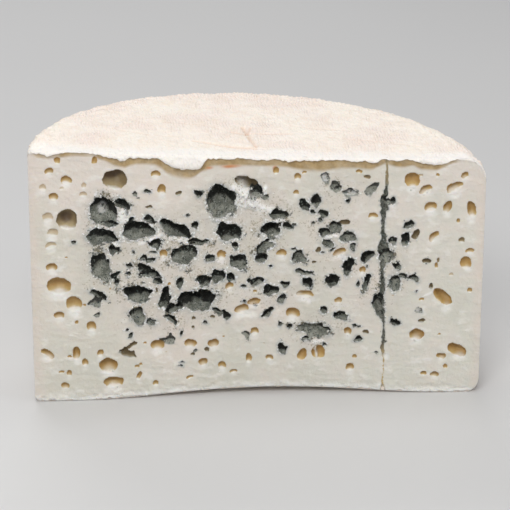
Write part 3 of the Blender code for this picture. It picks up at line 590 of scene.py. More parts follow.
def add_channel(sums, across, up, shift):
    """Add the needle's channel, a groove whose section is part of a circle; its place, half width and
    tints follow the list from the foot up, and its sides are ragged."""
    table = np.array(CHANNEL).T
    middle, half, mould, brown = (np.interp(up, table[0], values) for values in table[1:])
    ragged = 0.45 * noise((up, 0.0, 0.0), 2.6, 71, 2) + 0.30 * drift(up / 0.8, across / 3.0, 0.0, 73)
    half = half * (0.80 + ragged) + 0.05
    beside = across - middle + shift * 0.42 * np.minimum(half, 1.2)
    share = np.abs(beside) / half
    sink, widen = ball_section(share, OPEN_TURN)
    tints = {"mould": mould, "ochre": 1.0 - mould, "brown": brown, "roof": CHANNEL_SHADE}
    gather(sums, slice(None), np.minimum(1.9 * half, 2.4) * sink, (beside * widen * 0.6, 0.0), 0.2,
           (1.0 - share) * half, 0.9, tints)


def mounds(across, up, wander, crumbly):
    """How far the white curd stands out, and how white it is. Each mound is an oval whose rise fades
    between 0.35 and 1.25 of its half sizes, and noise makes it crumbly."""
    rise = np.zeros(across.shape)
    white_and_lit = np.zeros(across.shape)
    for middle, height, half, half_up, lean, out in MOUNDS:
        beside = across - middle + 0.7 * wander[0]
        above = up - height + 0.7 * wander[1]
        share = np.hypot(*in_oval(beside, above, half, half_up, lean))
        rise = rise + out * smooth(1.25, 0.35, share)
        white_and_lit = np.maximum(white_and_lit, smooth(1.45, 0.7, share))
    grains = np.maximum(noise((across, up, 0.0), 0.9, 19, 2), -0.3)
    return rise * (0.75 + 0.7 * crumbly + 0.5 * grains), white_and_lit


def carve(across, up):
    """Everything that is hollowed into the cut face or stands out of it, at places across and up.

    The shifts of the hollows are summed, the deeper ones leading, and then everything climbs with its
    depth. Noise makes their walls lumpy and their rims crumbly. Returns the shifts across, back and
    up, and the tints: mould, ochre and brown; the edge (0.5 at an opening's rim, 1 a millimetre
    inside); the roof, which is how high on its hollow a place lies, from -1 to 1, and sets the
    painted shade under roofs and the painted light on floors; the halo round mould; white, which is
    white curd and painted light on the lit floors under eyes; and the zone where moulded hollows are
    crowded."""
    spot = (across, up, 0.0)
    wander = [0.85 * noise(spot, 3.4, seed) + 0.48 * noise(spot, 1.6, seed + 5)
              + 0.20 * noise(spot, 0.85, seed + 8) for seed in (1, 2)]
    sums = {name: np.zeros(across.shape) for name in SUMS}
    sums["edge"] -= 9.0
    for kind, places in HOLLOWS.items():
        for number, place in enumerate(places):
            chances = [float(hashed(number, len(places), turn, 9)) for turn in range(4)]
            add_hollow(sums, across, up, wander, KINDS[kind], place, chances)
    add_channel(sums, across, up, wander[0] + wander[1])

    weight = np.maximum(sums["weight"], 1e-9)
    tints = {name: sums[name] / weight for name in ("mould", "ochre", "brown", "roof")}
    power = np.maximum(sums["power"], 1e-9)
    lead = (sums["strongest"] / power) ** 2
    deep = sums["power"] ** 0.25 * (1.0 + (0.10 + 0.34 * tints["mould"]) * noise(spot, 1.9, 11, 3))
    side = sums["side"] / power * lead
    lift = sums["lift"] / power * lead + sums["climb"] / power * deep

    edge, halo, glow = sums["edge"], sums["halo"], sums["glow"]
    crumbly = noise(spot, 1.1, 17, 2)
    rim = np.exp(-((edge + 0.35) / 0.55) ** 2) * halo
    round_mould = smooth(0.25, 0.75, halo) * smooth(1.0, -0.2, edge)
    rise, white_and_lit = mounds(across, up, wander, crumbly)
    deep = deep - rim * (0.14 + 0.34 * crumbly) - 0.16 * crumbly * round_mould - rise
    deep = deep + 0.30 * glow * smooth(0.4, -0.6, edge) + 0.35 * patches_at(across, up, FLOORS, 1.3, 0.0)
    # the lit floors under eyes count as white: painted light
    white_and_lit = np.maximum(white_and_lit, 0.8 * glow)
    tints["white_and_lit"] = np.maximum(white_and_lit, 0.75 * patches_at(across, up, FLOORS, 1.3, 0.3))
    tints["edge"] = np.clip(0.5 + 0.5 * edge, 0.0, 1.0)
    tints["halo"] = halo
    tints["zone"] = 1.0 - np.exp(-sums["zone"] / 14.0)
    return side, deep, lift, tints


def cut_face(across, level):
    """Places on the cut face and their tints: dished, arched, carved, and slightly uneven from the
    knife, which left long shallow drags and scores; the foot is rougher and nicked. Further tints are
    the tan band under the rind, which is tan paste with the lip's painted shadow, the stains under the
    rind, the dark spots, and the face's two side edges."""
    up = level + arch_lift(across, level, 0.0)
    spot = (across, up, 0.0)
    side, deep, lift, tints = carve(across, up)
    drags = drift(across / 26.0, (up + 0.16 * across) / 1.7, 0.0, 31)
    broad = 0.28 * noise(spot, 17.0, 33, 2)
    fine = 0.035 * noise(spot, 1.3, 35, 2)
    foot = 0.80 * smooth(7.0, 0.0, level) * noise((across / 2.4, up / 1.6, 0.0), 1.0, 37, 3)
    relief = 0.05 * drags + broad + fine + foot + pressed(across, up, SCORES)
    from_side = half_width(0.0) - np.abs(across)
    inward = smooth(0.0, 3.0, np.minimum(from_side, 2.0 * (level - face_foot(across))))
    back = FACE_Y + dish_depth(across, level, 0.0) + deep + relief * inward
    nicks = np.maximum(noise((across, 0.0, 0.0), 1.5, 39, 2) - 0.1, 0.0)
    lift = lift + 1.1 * smooth(2.4, 0.0, level) * nicks

    lip = along_list(across, LIP_EDGE)
    # the band under the lip: tan paste with the lip's painted shadow on it
    shaded_tan_band = along_list(across + 0.8 * noise((across, 0.0, 0.0), 3.0, 41), BAND_EDGE)
    over_band = smooth(-0.22, 0.30, (up - shaded_tan_band) / np.maximum(lip - shaded_tan_band, 0.6))
    wide = 0.08 + 0.92 * smooth(0.9, 2.2, lip - shaded_tan_band)
    tints["shaded_tan_band"] = over_band * wide * smooth(92.5, 87.0, across)
    tints["side"] = smooth(5.5, 0.5, from_side)
    ground = smooth(4.0, 0.6, level + 1.6 * noise((across / 4.0, up / 2.0, 0.0), 1.0, 43, 2))
    tints["white_and_lit"] = np.maximum(tints["white_and_lit"], 0.75 * ground)
    tints["spot"] = patches_at(across, up, SPOTS, 1.3, 0.7)
    tints["stain"] = patches_at(across, up, STAINS, 1.2, 0.2, 0.4 * drags)
    return np.stack([across + side, back, up + lift], axis=-1), tints


# Meshes

def add_object(name, data):
    """An object in the scene for a mesh, a light or a camera."""
    made = bpy.data.objects.new(name, data)
    bpy.context.scene.collection.objects.link(made)
    return made


def sleeve(name, points, uv, tints, material):
    """Closed mesh of rows by columns whose last row joins the first, with both ends capped. Each
    column is one loop round the piece. uv has one row more, for the seam, and both caps lie in a
    strip of their own at its upper edge. The caps keep sharp edges, so that they don't shade round."""
    rows, columns = points.shape[:2]
    index = np.arange(rows * columns).reshape(rows, columns)
    ahead = np.roll(index, -1, axis=0)
    quads = np.stack([index[:, :-1], index[:, 1:], ahead[:, 1:], ahead[:, :-1]], axis=-1).reshape(-1, 4)
    corners = np.stack([uv[:-1, :-1], uv[:-1, 1:], uv[1:, 1:], uv[1:, :-1]], axis=2).reshape(-1, 2)
    caps = [index[:, 0], index[::-1, -1]]
    mesh = bpy.data.meshes.new(name)
    mesh.vertices.add(rows * columns)
    mesh.vertices.foreach_set("co", (points * MM).ravel())
    loops = np.concatenate([quads.ravel(), *caps])
    mesh.loops.add(len(loops))
    mesh.loops.foreach_set("vertex_index", loops)
    starts = np.concatenate([np.arange(len(quads)) * 4, [len(quads) * 4, len(quads) * 4 + rows]])
    mesh.polygons.add(len(starts))
    mesh.polygons.foreach_set("loop_start", starts)
    mesh.update(calc_edges=True)
    cap_corners = []
    for number, cap in enumerate(caps):
        flat = points.reshape(-1, 3)[cap]
        across = 0.01 + 0.5 * number + 0.45 * (flat[:, 2] - flat[:, 2].min()) / np.ptp(flat[:, 2])
        up = 0.985 + 0.01 * (flat[:, 1] - flat[:, 1].min()) / max(np.ptp(flat[:, 1]), 1e-6)
        cap_corners.append(np.stack([across, up], axis=-1))
    layer = mesh.uv_layers.new(name="OFBake")
    layer.data.foreach_set("uv", np.concatenate([corners, *cap_corners]).ravel())
    mesh.shade_smooth()
    for key, values in tints.items():
        made = mesh.attributes.new(key, "FLOAT", "POINT")
        made.data.foreach_set("value", values.ravel().astype(np.float32))
    bm = bmesh.new()
    bm.from_mesh(mesh)
    bmesh.ops.remove_doubles(bm, verts=bm.verts[:], dist=0.000002)
    bmesh.ops.dissolve_degenerate(bm, edges=bm.edges[:], dist=0.000001)
    bmesh.ops.recalc_face_normals(bm, faces=bm.faces[:])
    if bm.calc_volume(signed=True) < 0.0:
        bmesh.ops.reverse_faces(bm, faces=bm.faces[:])
    for edge in {edge for face in bm.faces if len(face.verts) > 4 for edge in face.edges}:
        edge.smooth = False
    bm.to_mesh(mesh)
    bm.free()
    mesh.materials.append(material)
    return add_object(name, mesh)


def uv_rows(columns, stretches):
    """UV grid: across by column, up through the given stretches of (lowest, highest, rows)."""
    up = np.concatenate([np.linspace(low, high, rows) for low, high, rows in stretches])
    across = 0.004 + 0.992 * (columns + 1.0) / 2.0
    return np.stack(np.broadcast_arrays(across[None, :], up[:, None]), axis=-1)


def paste_piece(material):
    """The curd: its finely divided cut face, closed behind by a plain skin hidden under the rind."""
    columns = even_columns(FACE_COLUMNS, 12)
    across = columns * half_width(-FACE_PROUD)
    low = face_foot(across) + 0.5 * FACE_PROUD
    high = face_top(across, FACE_INSET)
    share = np.linspace(0.0, 1.0, FACE_ROWS)[:, None]
    level = low + (high - low) * share
    front, tints = cut_face(np.broadcast_to(across, level.shape), level)
    hidden_across, behind, hidden_level, _ = skin(columns, PASTE_INSET, PASTE_BACK_ROWS)
    hidden = settled(hidden_across, np.maximum(behind, PASTE_INSET), hidden_level)
    points = np.concatenate([front, hidden])
    blank = np.zeros(hidden.shape[:2])
    tints = {name: np.concatenate([values, blank]) for name, values in tints.items()}
    uv = uv_rows(columns, [(0.004, 0.62, FACE_ROWS), (0.63, 0.97, len(hidden) + 1)])
    return sleeve("paste", points, uv, tints, material)


def torn_edge(across):
    """Height of the rind's torn lower edge over the cut face, with small nicks."""
    spot = (across, 0.0, 0.0)
    nicks = 0.34 * noise(spot, 1.1, 51) + 0.30 * noise(spot, 2.7, 52)
    return along_list(across, LIP_EDGE) + nicks * smooth(0.0, 6.0, RADIUS - np.abs(across))


def lip_section(across, rows):
    """The rind's front, from inside the curd under the torn edge round to the top, as how far behind
    the cut and how high: half of an ellipse between the torn edge and the top, fuller at its lower
    side. It bulges less where the rind is low and towards both ends, and flattens in the last
    millimetre."""
    top = face_top(across)
    low = np.minimum(torn_edge(across), top - 0.25)
    tall = top - low
    from_end = half_width(0.0) - np.abs(across)
    ends = smooth(0.0, 4.0, from_end) * smooth(94.0, 80.0, across)
    uneven = 1.0 + 0.30 * noise((across, 0.0, 0.0), 3.3, 55)
    bulge = (0.40 + 0.36 * np.clip(tall, 0.0, 4.6)) * uneven * ends + 0.22 * smooth(0.0, 1.0, from_end)
    turn = np.radians(np.linspace(-118.0, 88.0, rows))[:, None]
    round_share = np.cos(np.clip(turn, -math.pi / 2, math.pi / 2)) ** 0.75
    behind = -bulge * round_share * (1.0 - 0.42 * np.sin(turn)) / 1.15
    behind = behind + 3.2 * np.maximum(-math.pi / 2 - turn, 0.0)
    return behind, (top + low) / 2.0 + 0.5 * tall * np.sin(turn)


def cloth_relief(place, normal):
    """How far the rind stands out, by place: broad unevenness, the ripple that the cloth left on the
    top, ribs round the rim and on the wall, knobs on the shoulder, and creases on the top."""
    x, y, z = spot = tuple(np.moveaxis(place, -1, 0))
    turned = tumbled(x, y, z)
    upward = smooth(0.55, 0.95, normal[..., 2])
    outward = 1.0 - smooth(0.2, 0.9, np.abs(normal[..., 2]))
    broad = 0.336 * noise(spot, 24.0, 62, 3)
    ripple = 0.075 * np.sin((y + 0.22 * x + 2.5 * noise(spot, 30.0, 61)) * 2.9)
    ripple = ripple * (0.5 + 0.5 * noise(spot, 9.0, 63))
    from_axis = y - FACE_Y + CUT_BEHIND_AXIS
    round_rim = np.arctan2(x, from_axis) * RADIUS
    ribs = np.sin((round_rim + 0.8 * noise(spot, 7.0, 64)) * (math.tau / RIB_WIDTH))
    level_ribs = np.sin((z + 0.5 * noise(spot, 7.0, 65)) * (math.tau / LEVEL_RIB_WIDTH))
    shift = 0.9 * noise(turned, 3.1, 60)
    rough = noise(tumbled(x + shift, y - shift, z + shift), 2.4, 67, 3)
    knobs = noise(turned, 3.2, 59, 2)
    near_rim = smooth(15.0, 3.0, RADIUS - np.hypot(x, from_axis))
    comb = near_rim * (0.18 * ribs + 0.50 * knobs) + ripple + 0.16 * noise(turned, 4.5, 69, 3)
    wall = outward * (0.14 * ribs + 0.08 * level_ribs + 0.30 * rough)
    shoulder = (1.0 - upward) * (1.0 - outward) * (0.34 * ribs + 0.40 * rough + 0.75 * knobs)
    grainy = 0.11 * noise(turned, 1.5, 66, 2)
    return broad + upward * (comb - pressed(x, y, CREASES)) + wall + shoulder + grainy


def rind_piece(material):
    """The rind: a closed shell round the curd, from its torn lip over the top, the wall and the foot."""
    even = np.linspace(-1.0, 1.0, RIND_COLUMNS)
    columns = 0.1 * even + 0.9 * np.sin(even * math.pi / 2)
    across, behind, level, normal = skin(columns, 0.0, RIND_ROWS)
    outer = settled(across, behind, level)
    away = smooth(0.0, 2.5, behind)[..., None]
    outer = outer + normal * cloth_relief(outer, normal)[..., None] * away
    outer[..., 2] = np.maximum(outer[..., 2], 0.0)
    lip_behind, lip_up = lip_section(across[0], LIP_ROWS)
    lip = np.stack(np.broadcast_arrays(across[0], FACE_Y + lip_behind, lip_up), axis=-1)
    lip[..., 1] -= 0.30 * noise(np.moveaxis(lip, -1, 0), 1.8, 57, 2) * smooth(0.2, -0.4, lip_behind)
    inner_across, inner_behind, inner_level, _ = skin(columns, RIND_THICKNESS, RIND_INNER_ROWS)
    inner = settled(inner_across, np.maximum(inner_behind, 1.6), inner_level)[::-1]
    points = np.concatenate([lip, outer, inner])
    x, y, _ = np.moveaxis(outer, -1, 0)
    flat = smooth(0.6, 0.9, normal[..., 2])
    whiter = smooth(12.0, 2.0, behind + 4.0 * noise((x, y, 0.0), 7.0, 58, 3)) * flat
    crease = pressed(x, y, CREASES) * flat
    hidden = np.zeros(inner.shape[:2])
    tints = {"lip": np.concatenate([np.ones(lip.shape[:2]), whiter, hidden]),
             "crease": np.concatenate([np.zeros(lip.shape[:2]), crease, hidden])}
    top_rows, wall_rows, foot_rows = RIND_ROWS
    uv = uv_rows(columns, [(0.004, 0.05, LIP_ROWS), (0.054, 0.38, top_rows), (0.384, 0.70, wall_rows),
                           (0.704, 0.93, foot_rows), (0.935, 0.975, len(inner) + 1)])
    return sleeve("rind", points, uv, tints, material)


def lumps(name, middles, radii, seed, material):
    """Many small lumpy crumbs in one mesh: six-sided balls, stretched, turned by random quaternions
    and dented by noise."""
    turn, climb = np.meshgrid(np.arange(6) * math.tau / 6, np.radians([-45.0, 0.0, 45.0]))
    ring = np.stack([np.cos(turn) * np.cos(climb), np.sin(turn) * np.cos(climb), np.sin(climb)], axis=-1)
    ball = np.concatenate([ring.reshape(-1, 3), [[0.0, 0.0, -1.0], [0.0, 0.0, 1.0]]])
    around = np.arange(6)
    follow = (around + 1) % 6
    sides = np.concatenate([np.stack([around, follow, follow + 6, around + 6], axis=1) + 6 * low
                            for low in range(2)])
    ends = np.concatenate([np.stack([follow, around, np.full(6, 18)], axis=1),
                           np.stack([around + 12, follow + 12, np.full(6, 19)], axis=1)])
    count = len(middles)
    chance = np.random.default_rng(seed)
    stretch = chance.uniform(0.65, 1.3, (count, 1, 3))
    quaternion = chance.normal(size=(count, 4))
    quaternion /= np.linalg.norm(quaternion, axis=1, keepdims=True)
    w, a, b, c = quaternion.T
    spin = np.stack([1 - 2 * (b * b + c * c), 2 * (a * b - w * c), 2 * (a * c + w * b),
                     2 * (a * b + w * c), 1 - 2 * (a * a + c * c), 2 * (b * c - w * a),
                     2 * (a * c - w * b), 2 * (b * c + w * a), 1 - 2 * (a * a + b * b)], axis=1)
    spin = spin.reshape(count, 3, 3)
    offset = np.arange(count)[:, None] * 7.3
    dent = 1.0 + 0.45 * drift(ball[:, 0] * 1.4 + offset, ball[:, 1] * 1.4, ball[:, 2] * 1.4, seed)
    points = np.einsum("nij,nkj->nki", spin, ball[None] * stretch * dent[..., None])
    points = (points * radii[:, None, None] + middles[:, None]) * MM
    base = np.arange(count)[:, None, None] * len(ball)
    polygons = (sides[None] + base).reshape(-1, 4).tolist() + (ends[None] + base).reshape(-1, 3).tolist()
    mesh = bpy.data.meshes.new(name)
    mesh.from_pydata(points.reshape(-1, 3), [], polygons)
    mesh.shade_smooth()
    mesh.materials.append(material)
    return add_object(name, mesh)


def scatter(count, seed, wanted):
    """Places on the cut face for crumbs: random ones, kept where a draw is under what wanted gives
    for the tints, the place across and the level there."""
    chance = np.random.default_rng(seed)
    across = chance.uniform(-74.0, 76.0, count)
    level = chance.uniform(0.4, 102.0, count)
    places, tints = cut_face(across, level)
    return places[chance.uniform(size=count) < wanted(tints, across, level)]


def crumb_piece(material):
    """White curd crumbs on the rims of the blue pockets, on the white curd and along the foot. They
    stand a little out of the face, and clear of the floor."""
    def wanted(tints, across, level):
        rim = np.exp(-((tints["edge"] - 0.42) / 0.22) ** 2) * tints["halo"]
        clumps = smooth(-0.2, 0.5, noise((across, level, 0.0), 6.0, 81))
        return 0.55 * rim * clumps + 0.5 * tints["white_and_lit"] ** 3 + 0.9 * clumps * smooth(3.0, 0.6, level)
    places = scatter(CRUMB_TRIES, 5, wanted)
    radii = 0.17 + 0.32 * np.random.default_rng(6).uniform(size=len(places)) ** 2.2
    places[:, 1] -= 0.15 * radii
    places[:, 2] = np.maximum(places[:, 2], 1.5 * radii)
    return lumps("crumbs", places, radii, 7, material)


def mould_crumb_piece(material):
    """Grey-green crumbs of mould on the floors and walls of the blue pockets and in the channel."""
    def wanted(tints, across, level):
        inside = smooth(0.5, 0.8, tints["edge"]) * tints["mould"]
        return 0.5 * inside * smooth(0.9, -0.3, tints["roof"])
    places = scatter(MOULD_CRUMB_TRIES, 15, wanted)
    radii = 0.18 + 0.36 * np.random.default_rng(16).uniform(size=len(places)) ** 2.0
    return lumps("mould_crumbs", places, radii, 17, material)


# Materials

class Wire:
    """A value on a wire. Each operator, with a wire or a number on either side, adds its Math node."""

    def __init__(self, finish, socket):
        self.finish = finish
        self.socket = socket

    def __add__(self, other):
        return self.finish.math("ADD", self, other)

    def __sub__(self, other):
        return self.finish.math("SUBTRACT", self, other)

    def __rsub__(self, other):
        return self.finish.math("SUBTRACT", other, self)

    def __mul__(self, other):
        return self.finish.math("MULTIPLY", self, other)

    __radd__ = __add__
    __rmul__ = __mul__

    def between(self, low, high):
        """0 below low, 1 above high and smooth between; the other way round where low is higher."""
        sockets = {"Value": self, "From Min": min(low, high), "From Max": max(low, high),
                   "To Min": float(low > high), "To Max": float(low < high)}
        return self.finish.node("ShaderNodeMapRange", sockets, interpolation_type="SMOOTHSTEP")


class Finish:
    """A material's nodes. node() adds any node from its type, its sockets' values or wires and its
    settings, which are set first; the other methods name common ones."""

    def __init__(self, name):
        self.material = bpy.data.materials.new(name)
        self.material.use_nodes = True
        self.tree = self.material.node_tree
        self.tree.nodes.clear()
        place = self.node("ShaderNodeTexCoord", output="Object")
        self.place = self.node("ShaderNodeVectorMath", {0: place, "Scale": 1.0 / MM}, operation="SCALE")

    def node(self, kind, sockets=None, output=0, **settings):
        made = self.tree.nodes.new(kind)
        for name, value in settings.items():
            setattr(made, name, value)
        for name, value in (sockets or {}).items():
            if isinstance(value, Wire):
                self.tree.links.new(value.socket, made.inputs[name])
            else:
                made.inputs[name].default_value = value
        return Wire(self, made.outputs[output]) if len(made.outputs) else made

    def math(self, operation, first, second):
        return self.node("ShaderNodeMath", {0: first, 1: second}, operation=operation)

    def tint(self, name):
        return self.node("ShaderNodeAttribute", output="Fac", attribute_name=name)

    def stretched(self, scale, turn=(0.0, 0.0, 0.0)):
        return self.node("ShaderNodeMapping", {"Vector": self.place, "Scale": scale, "Rotation": turn})

    def noise(self, size, detail=2.0, roughness=0.5, place=None, output=0):
        sockets = {"Vector": place or self.place, "Scale": 1.0 / size, "Detail": detail,
                   "Roughness": roughness}
        return self.node("ShaderNodeTexNoise", sockets, output)

    def mix(self, share, first, second):
        return self.node("ShaderNodeMix", {0: share, 6: first, 7: second}, output=2, data_type="RGBA")

    def bump(self, height, distance, strength):
        sockets = {"Height": height, "Distance": distance * MM, "Strength": strength}
        return self.node("ShaderNodeBump", sockets)

    def surface(self, **sockets):
        named = {name.replace("_", " "): value for name, value in sockets.items()}
        shader = self.node("ShaderNodeBsdfPrincipled", named)
        self.node("ShaderNodeOutputMaterial", {"Surface": shader})
        return self.material


def rgb(red, green, blue):
    """Linear colour of a screen colour given from 0 to 255."""
    shares = [part / 255.0 for part in (red, green, blue)]
    return tuple(s / 12.92 if s <= 0.04045 else ((s + 0.055) / 1.055) ** 2.4 for s in shares) + (1.0,)


def paste_finish():
    """Moist ivory curd, blue-green where mould grows, ochre in the eyes, tan under the rind with the
    lip's painted shadow. The hollows carry painted shade under their roofs and painted light on their
    lower floors.
    """
    f = Finish("ivory_paste")
    broad = f.noise(26.0, 3.0)
    patches = f.noise(7.0, 3.0, 0.6)
    blots = f.noise(3.2, 3.0, 0.6)
    spots = f.noise(1.9, 4.0, 0.68)
    grain = f.noise(1.4, 3.0, 0.6)
    dust = f.noise(0.5, 2.0, 0.6)
    mould, ochre, brown = f.tint("mould"), f.tint("ochre"), f.tint("brown")
    edge, roof, halo, white_and_lit = f.tint("edge"), f.tint("roof"), f.tint("halo"), f.tint("white_and_lit")
    zone = f.tint("zone")
    across = f.node("ShaderNodeSeparateXYZ", {0: f.place}, output="X")
    up = f.node("ShaderNodeSeparateXYZ", {0: f.place}, output="Z")

    warmth = (up * 0.005 - across * 0.002 + patches * 1.2 + broad * 2.2).between(1.15, 2.75)
    curd = f.mix(warmth, rgb(218, 217, 205), rgb(229, 219, 208))
    curd = f.mix(broad.between(0.52, 0.36) * 0.30, curd, rgb(211, 204, 188))
    smears = f.noise(4.2, 3.0, 0.55, place=f.stretched((0.7, 1.0, 1.1), (0.0, 0.6, 0.0)))
    curd = f.mix(smears.between(0.54, 0.70) * 0.55, curd, rgb(240, 237, 230))
    curd = f.mix(f.tint("side") * (0.35 + 0.6 * patches), curd, rgb(226, 213, 201))
    curd = f.mix((zone * (0.10 + 1.2 * blots)).between(0.1, 0.8) * 0.8, curd, rgb(207, 200, 189))
    # tan paste under the rind, darkened as the painted shadow under the lip
    tan_and_lip_shadow = f.mix(blots.between(0.3, 0.7), rgb(164, 138, 94), rgb(190, 164, 120))
    curd = f.mix(f.tint("shaded_tan_band") * (0.55 + 0.8 * patches), curd, tan_and_lip_shadow)
    curd = f.mix(f.tint("stain") * (0.45 + 0.8 * blots), curd, rgb(206, 130, 70))

    veil = (halo * (0.25 + 1.4 * blots)).between(0.20, 0.95)
    curd = f.mix(veil * 0.65, curd, rgb(176, 181, 180))
    pale = (halo * 0.5 + zone * 0.25 + (f.noise(1.1, 2.0) - 0.5) * 1.8).between(0.55, 0.85)
    curd = f.mix(pale * 0.9, curd, rgb(243, 242, 239))
    # white curd, and painted light on the lit floors under eyes
    curd = f.mix(white_and_lit * (0.35 + 0.9 * grain), curd, rgb(247, 245, 240))
    crowded = patches.between(0.44, 0.60) * 0.24 + zone * 0.12
    specks = (halo * 0.56 + crowded + spots.between(0.40, 0.64) * 0.80 + dust * 0.3).between(1.36, 1.48)
    speck = f.mix(dust.between(0.35, 0.65), rgb(58, 64, 61), rgb(112, 117, 112))
    speck = f.mix(patches.between(0.56, 0.68) * 0.5, speck, rgb(134, 120, 88))
    curd = f.mix(specks * halo.between(0.04, 0.30) * 0.92, curd, speck)
    flaws = (zone * 0.16 + patches * 0.5 + f.noise(0.9, 2.0, 0.7)).between(0.94, 1.06)
    curd = f.mix(flaws * zone.between(0.2, 0.7) * 0.65, curd, rgb(146, 134, 104))

    inside = (edge + (grain - 0.5) * 0.35 + (dust - 0.5) * 0.25).between(0.44, 0.56)
    wander = (blots - 0.5) * 0.7 + (grain - 0.5) * 0.30
    ochre_and_roof_shade = f.mix(brown, rgb(203, 174, 114), rgb(172, 154, 118))
    ochre_and_roof_shade = f.mix(blots.between(0.4, 0.75) * 0.4, ochre_and_roof_shade, rgb(214, 192, 142))
    # ochre painted darker towards the hollow's roof, as painted shade
    ochre_and_roof_shade = f.mix((roof + wander * 0.4).between(-0.60, -0.05) * 0.75, ochre_and_roof_shade,
                   f.mix(brown, rgb(174, 136, 78), rgb(122, 104, 74)))
    # eyes: the lower floor painted near white as lit, with ochre above it
    eye = f.mix((roof + wander * 0.5).between(-0.80, -0.50), rgb(240, 237, 228), ochre_and_roof_shade)
    eye = f.mix(f.tint("spot") * 0.85, eye, rgb(92, 72, 52))
    # blue pockets: mould colour painted lighter on the lit lower floor, and near black as painted shade
    # under the roof
    lit_blue_floor = f.mix(blots.between(0.35, 0.65), rgb(122, 125, 114), rgb(178, 179, 166))
    shaded_blue_roof = f.mix(grain.between(0.4, 0.8), rgb(30, 31, 26), rgb(58, 60, 51))
    shaded_ceiling = (roof + wander).between(-0.56, -0.34)
    pocket = f.mix(shaded_ceiling, lit_blue_floor, shaded_blue_roof)
    # pale crumb flecks, fewer under the painted roof shade
    flecks = (dust + (grain - 0.5) * 0.8).between(0.58, 0.72)
    pocket = f.mix(flecks * (0.7 - 0.6 * shaded_ceiling), pocket, rgb(206, 207, 198))
    # dark mottles in the pockets, painted as the shade in small dents of the bump
    dent_shade = (dust - (grain - 0.5) * 0.8).between(0.44, 0.32)
    pocket = f.mix(dent_shade * 0.75, pocket, rgb(44, 47, 41))
    hollow = f.mix(mould.between(0.15, 0.62), eye, pocket)
    present = (mould + ochre).between(0.15, 0.7)
    colour = f.mix(inside * present * (1.0 - white_and_lit * 0.8), curd, hollow)

    damp = 0.40 + 0.14 * patches + 0.12 * inside * mould
    long_drags = f.noise(1.6, 2.0, 0.5, place=f.stretched((0.07, 1.0, 1.0), (0.0, 0.17, 0.0)))
    height = grain * 0.7 + dust * 0.25 + long_drags * 0.35 + inside * mould * dust * 3.2 - specks * 0.5
    normal = f.bump(height + blots * 0.9 + smears * 1.6 + halo * spots * 1.2, 0.42, 0.9)
    return f.surface(Base_Color=colour, Roughness=damp, Normal=normal, Subsurface_Weight=0.22,
                     Subsurface_Radius=(1.0, 0.72, 0.45), Subsurface_Scale=0.0016, Specular_IOR_Level=0.42)


def rind_finish():
    """Dry pale rind: cream with pinkish clouds, a fine cloth ripple, near white at its torn lip."""
    f = Finish("cream_rind")
    clouds = f.noise(24.0, 3.0, 0.6)
    drawn = f.stretched((1.0, 0.5, 0.8))
    patches = f.noise(5.0, 4.0, 0.65, place=drawn)
    blots = f.noise(2.2, 3.0, 0.65, place=drawn)
    grain = f.noise(0.9, 3.0, 0.65, place=drawn)
    lip = f.tint("lip")
    wander = f.noise(12.0, 2.0, output="Color")
    bend = f.node("ShaderNodeVectorMath", {0: wander, 1: (5.0, 5.0, 5.0), 2: f.place},
                  operation="MULTIPLY_ADD")
    threads = f.node("ShaderNodeTexWave", {"Vector": bend, "Scale": 0.235, "Distortion": 1.2, "Detail": 2.0,
                                           "Detail Scale": 0.5}, output="Fac")
    combed = clouds.between(0.42, 0.56) * (1.0 - lip)
    cream = f.mix(clouds.between(0.35, 0.66), rgb(250, 240, 227), rgb(249, 234, 223))
    cream = f.mix(patches.between(0.42, 0.72) * 0.40, cream, rgb(239, 221, 201))
    cream = f.mix(blots.between(0.50, 0.72) * 0.50, cream, rgb(251, 244, 236))
    cream = f.mix(threads * combed * 0.16, cream, rgb(226, 208, 190))
    cream = f.mix(lip * (0.45 + 0.5 * blots), cream, rgb(250, 246, 240))
    cream = f.mix(f.tint("crease") * 0.6, cream, rgb(220, 186, 160))
    height = grain * 0.8 + threads * combed * 0.25 + patches * 2.0 + blots * 1.6
    return f.surface(Base_Color=cream, Roughness=0.62 + 0.2 * grain, Normal=f.bump(height, 0.6, 0.95),
                     Subsurface_Weight=0.12, Subsurface_Radius=(1.0, 0.75, 0.55), Subsurface_Scale=0.0012,
                     Specular_IOR_Level=0.35)


def crumb_finish():
    """White crumbs of curd, greyer in places."""
    f = Finish("white_crumbs")
    grain = f.noise(0.8, 2.0)
    colour = f.mix(grain.between(0.35, 0.7), rgb(238, 236, 228), rgb(206, 206, 198))
    return f.surface(Base_Color=colour, Roughness=0.5 + 0.2 * grain, Normal=f.bump(grain, 0.1, 0.5),
                     Subsurface_Weight=0.2, Subsurface_Radius=(1.0, 0.75, 0.5), Subsurface_Scale=0.001)


def mould_crumb_finish():
    """Grey-green crumbs of mould with pale grains."""
    f = Finish("mould_crumbs")
    grain = f.noise(1.6, 2.0)
    fine = f.noise(0.5, 2.0)
    colour = f.mix(grain.between(0.35, 0.65), rgb(66, 76, 72), rgb(132, 140, 130))
    colour = f.mix(fine.between(0.6, 0.8) * 0.6, colour, rgb(196, 200, 190))
    return f.surface(Base_Color=colour, Roughness=0.85 - 0.1 * grain, Normal=f.bump(fine, 0.1, 0.6))


def floor_finish():
    """Plain pale floor, almost even."""
    f = Finish("pale_floor")
    clouds = f.noise(400.0, 2.0)
    colour = f.mix(clouds, rgb(206, 205, 203), rgb(212, 211, 209))
    return f.surface(Base_Color=colour, Roughness=0.6 + 0.05 * clouds)


# Camera, light and floor

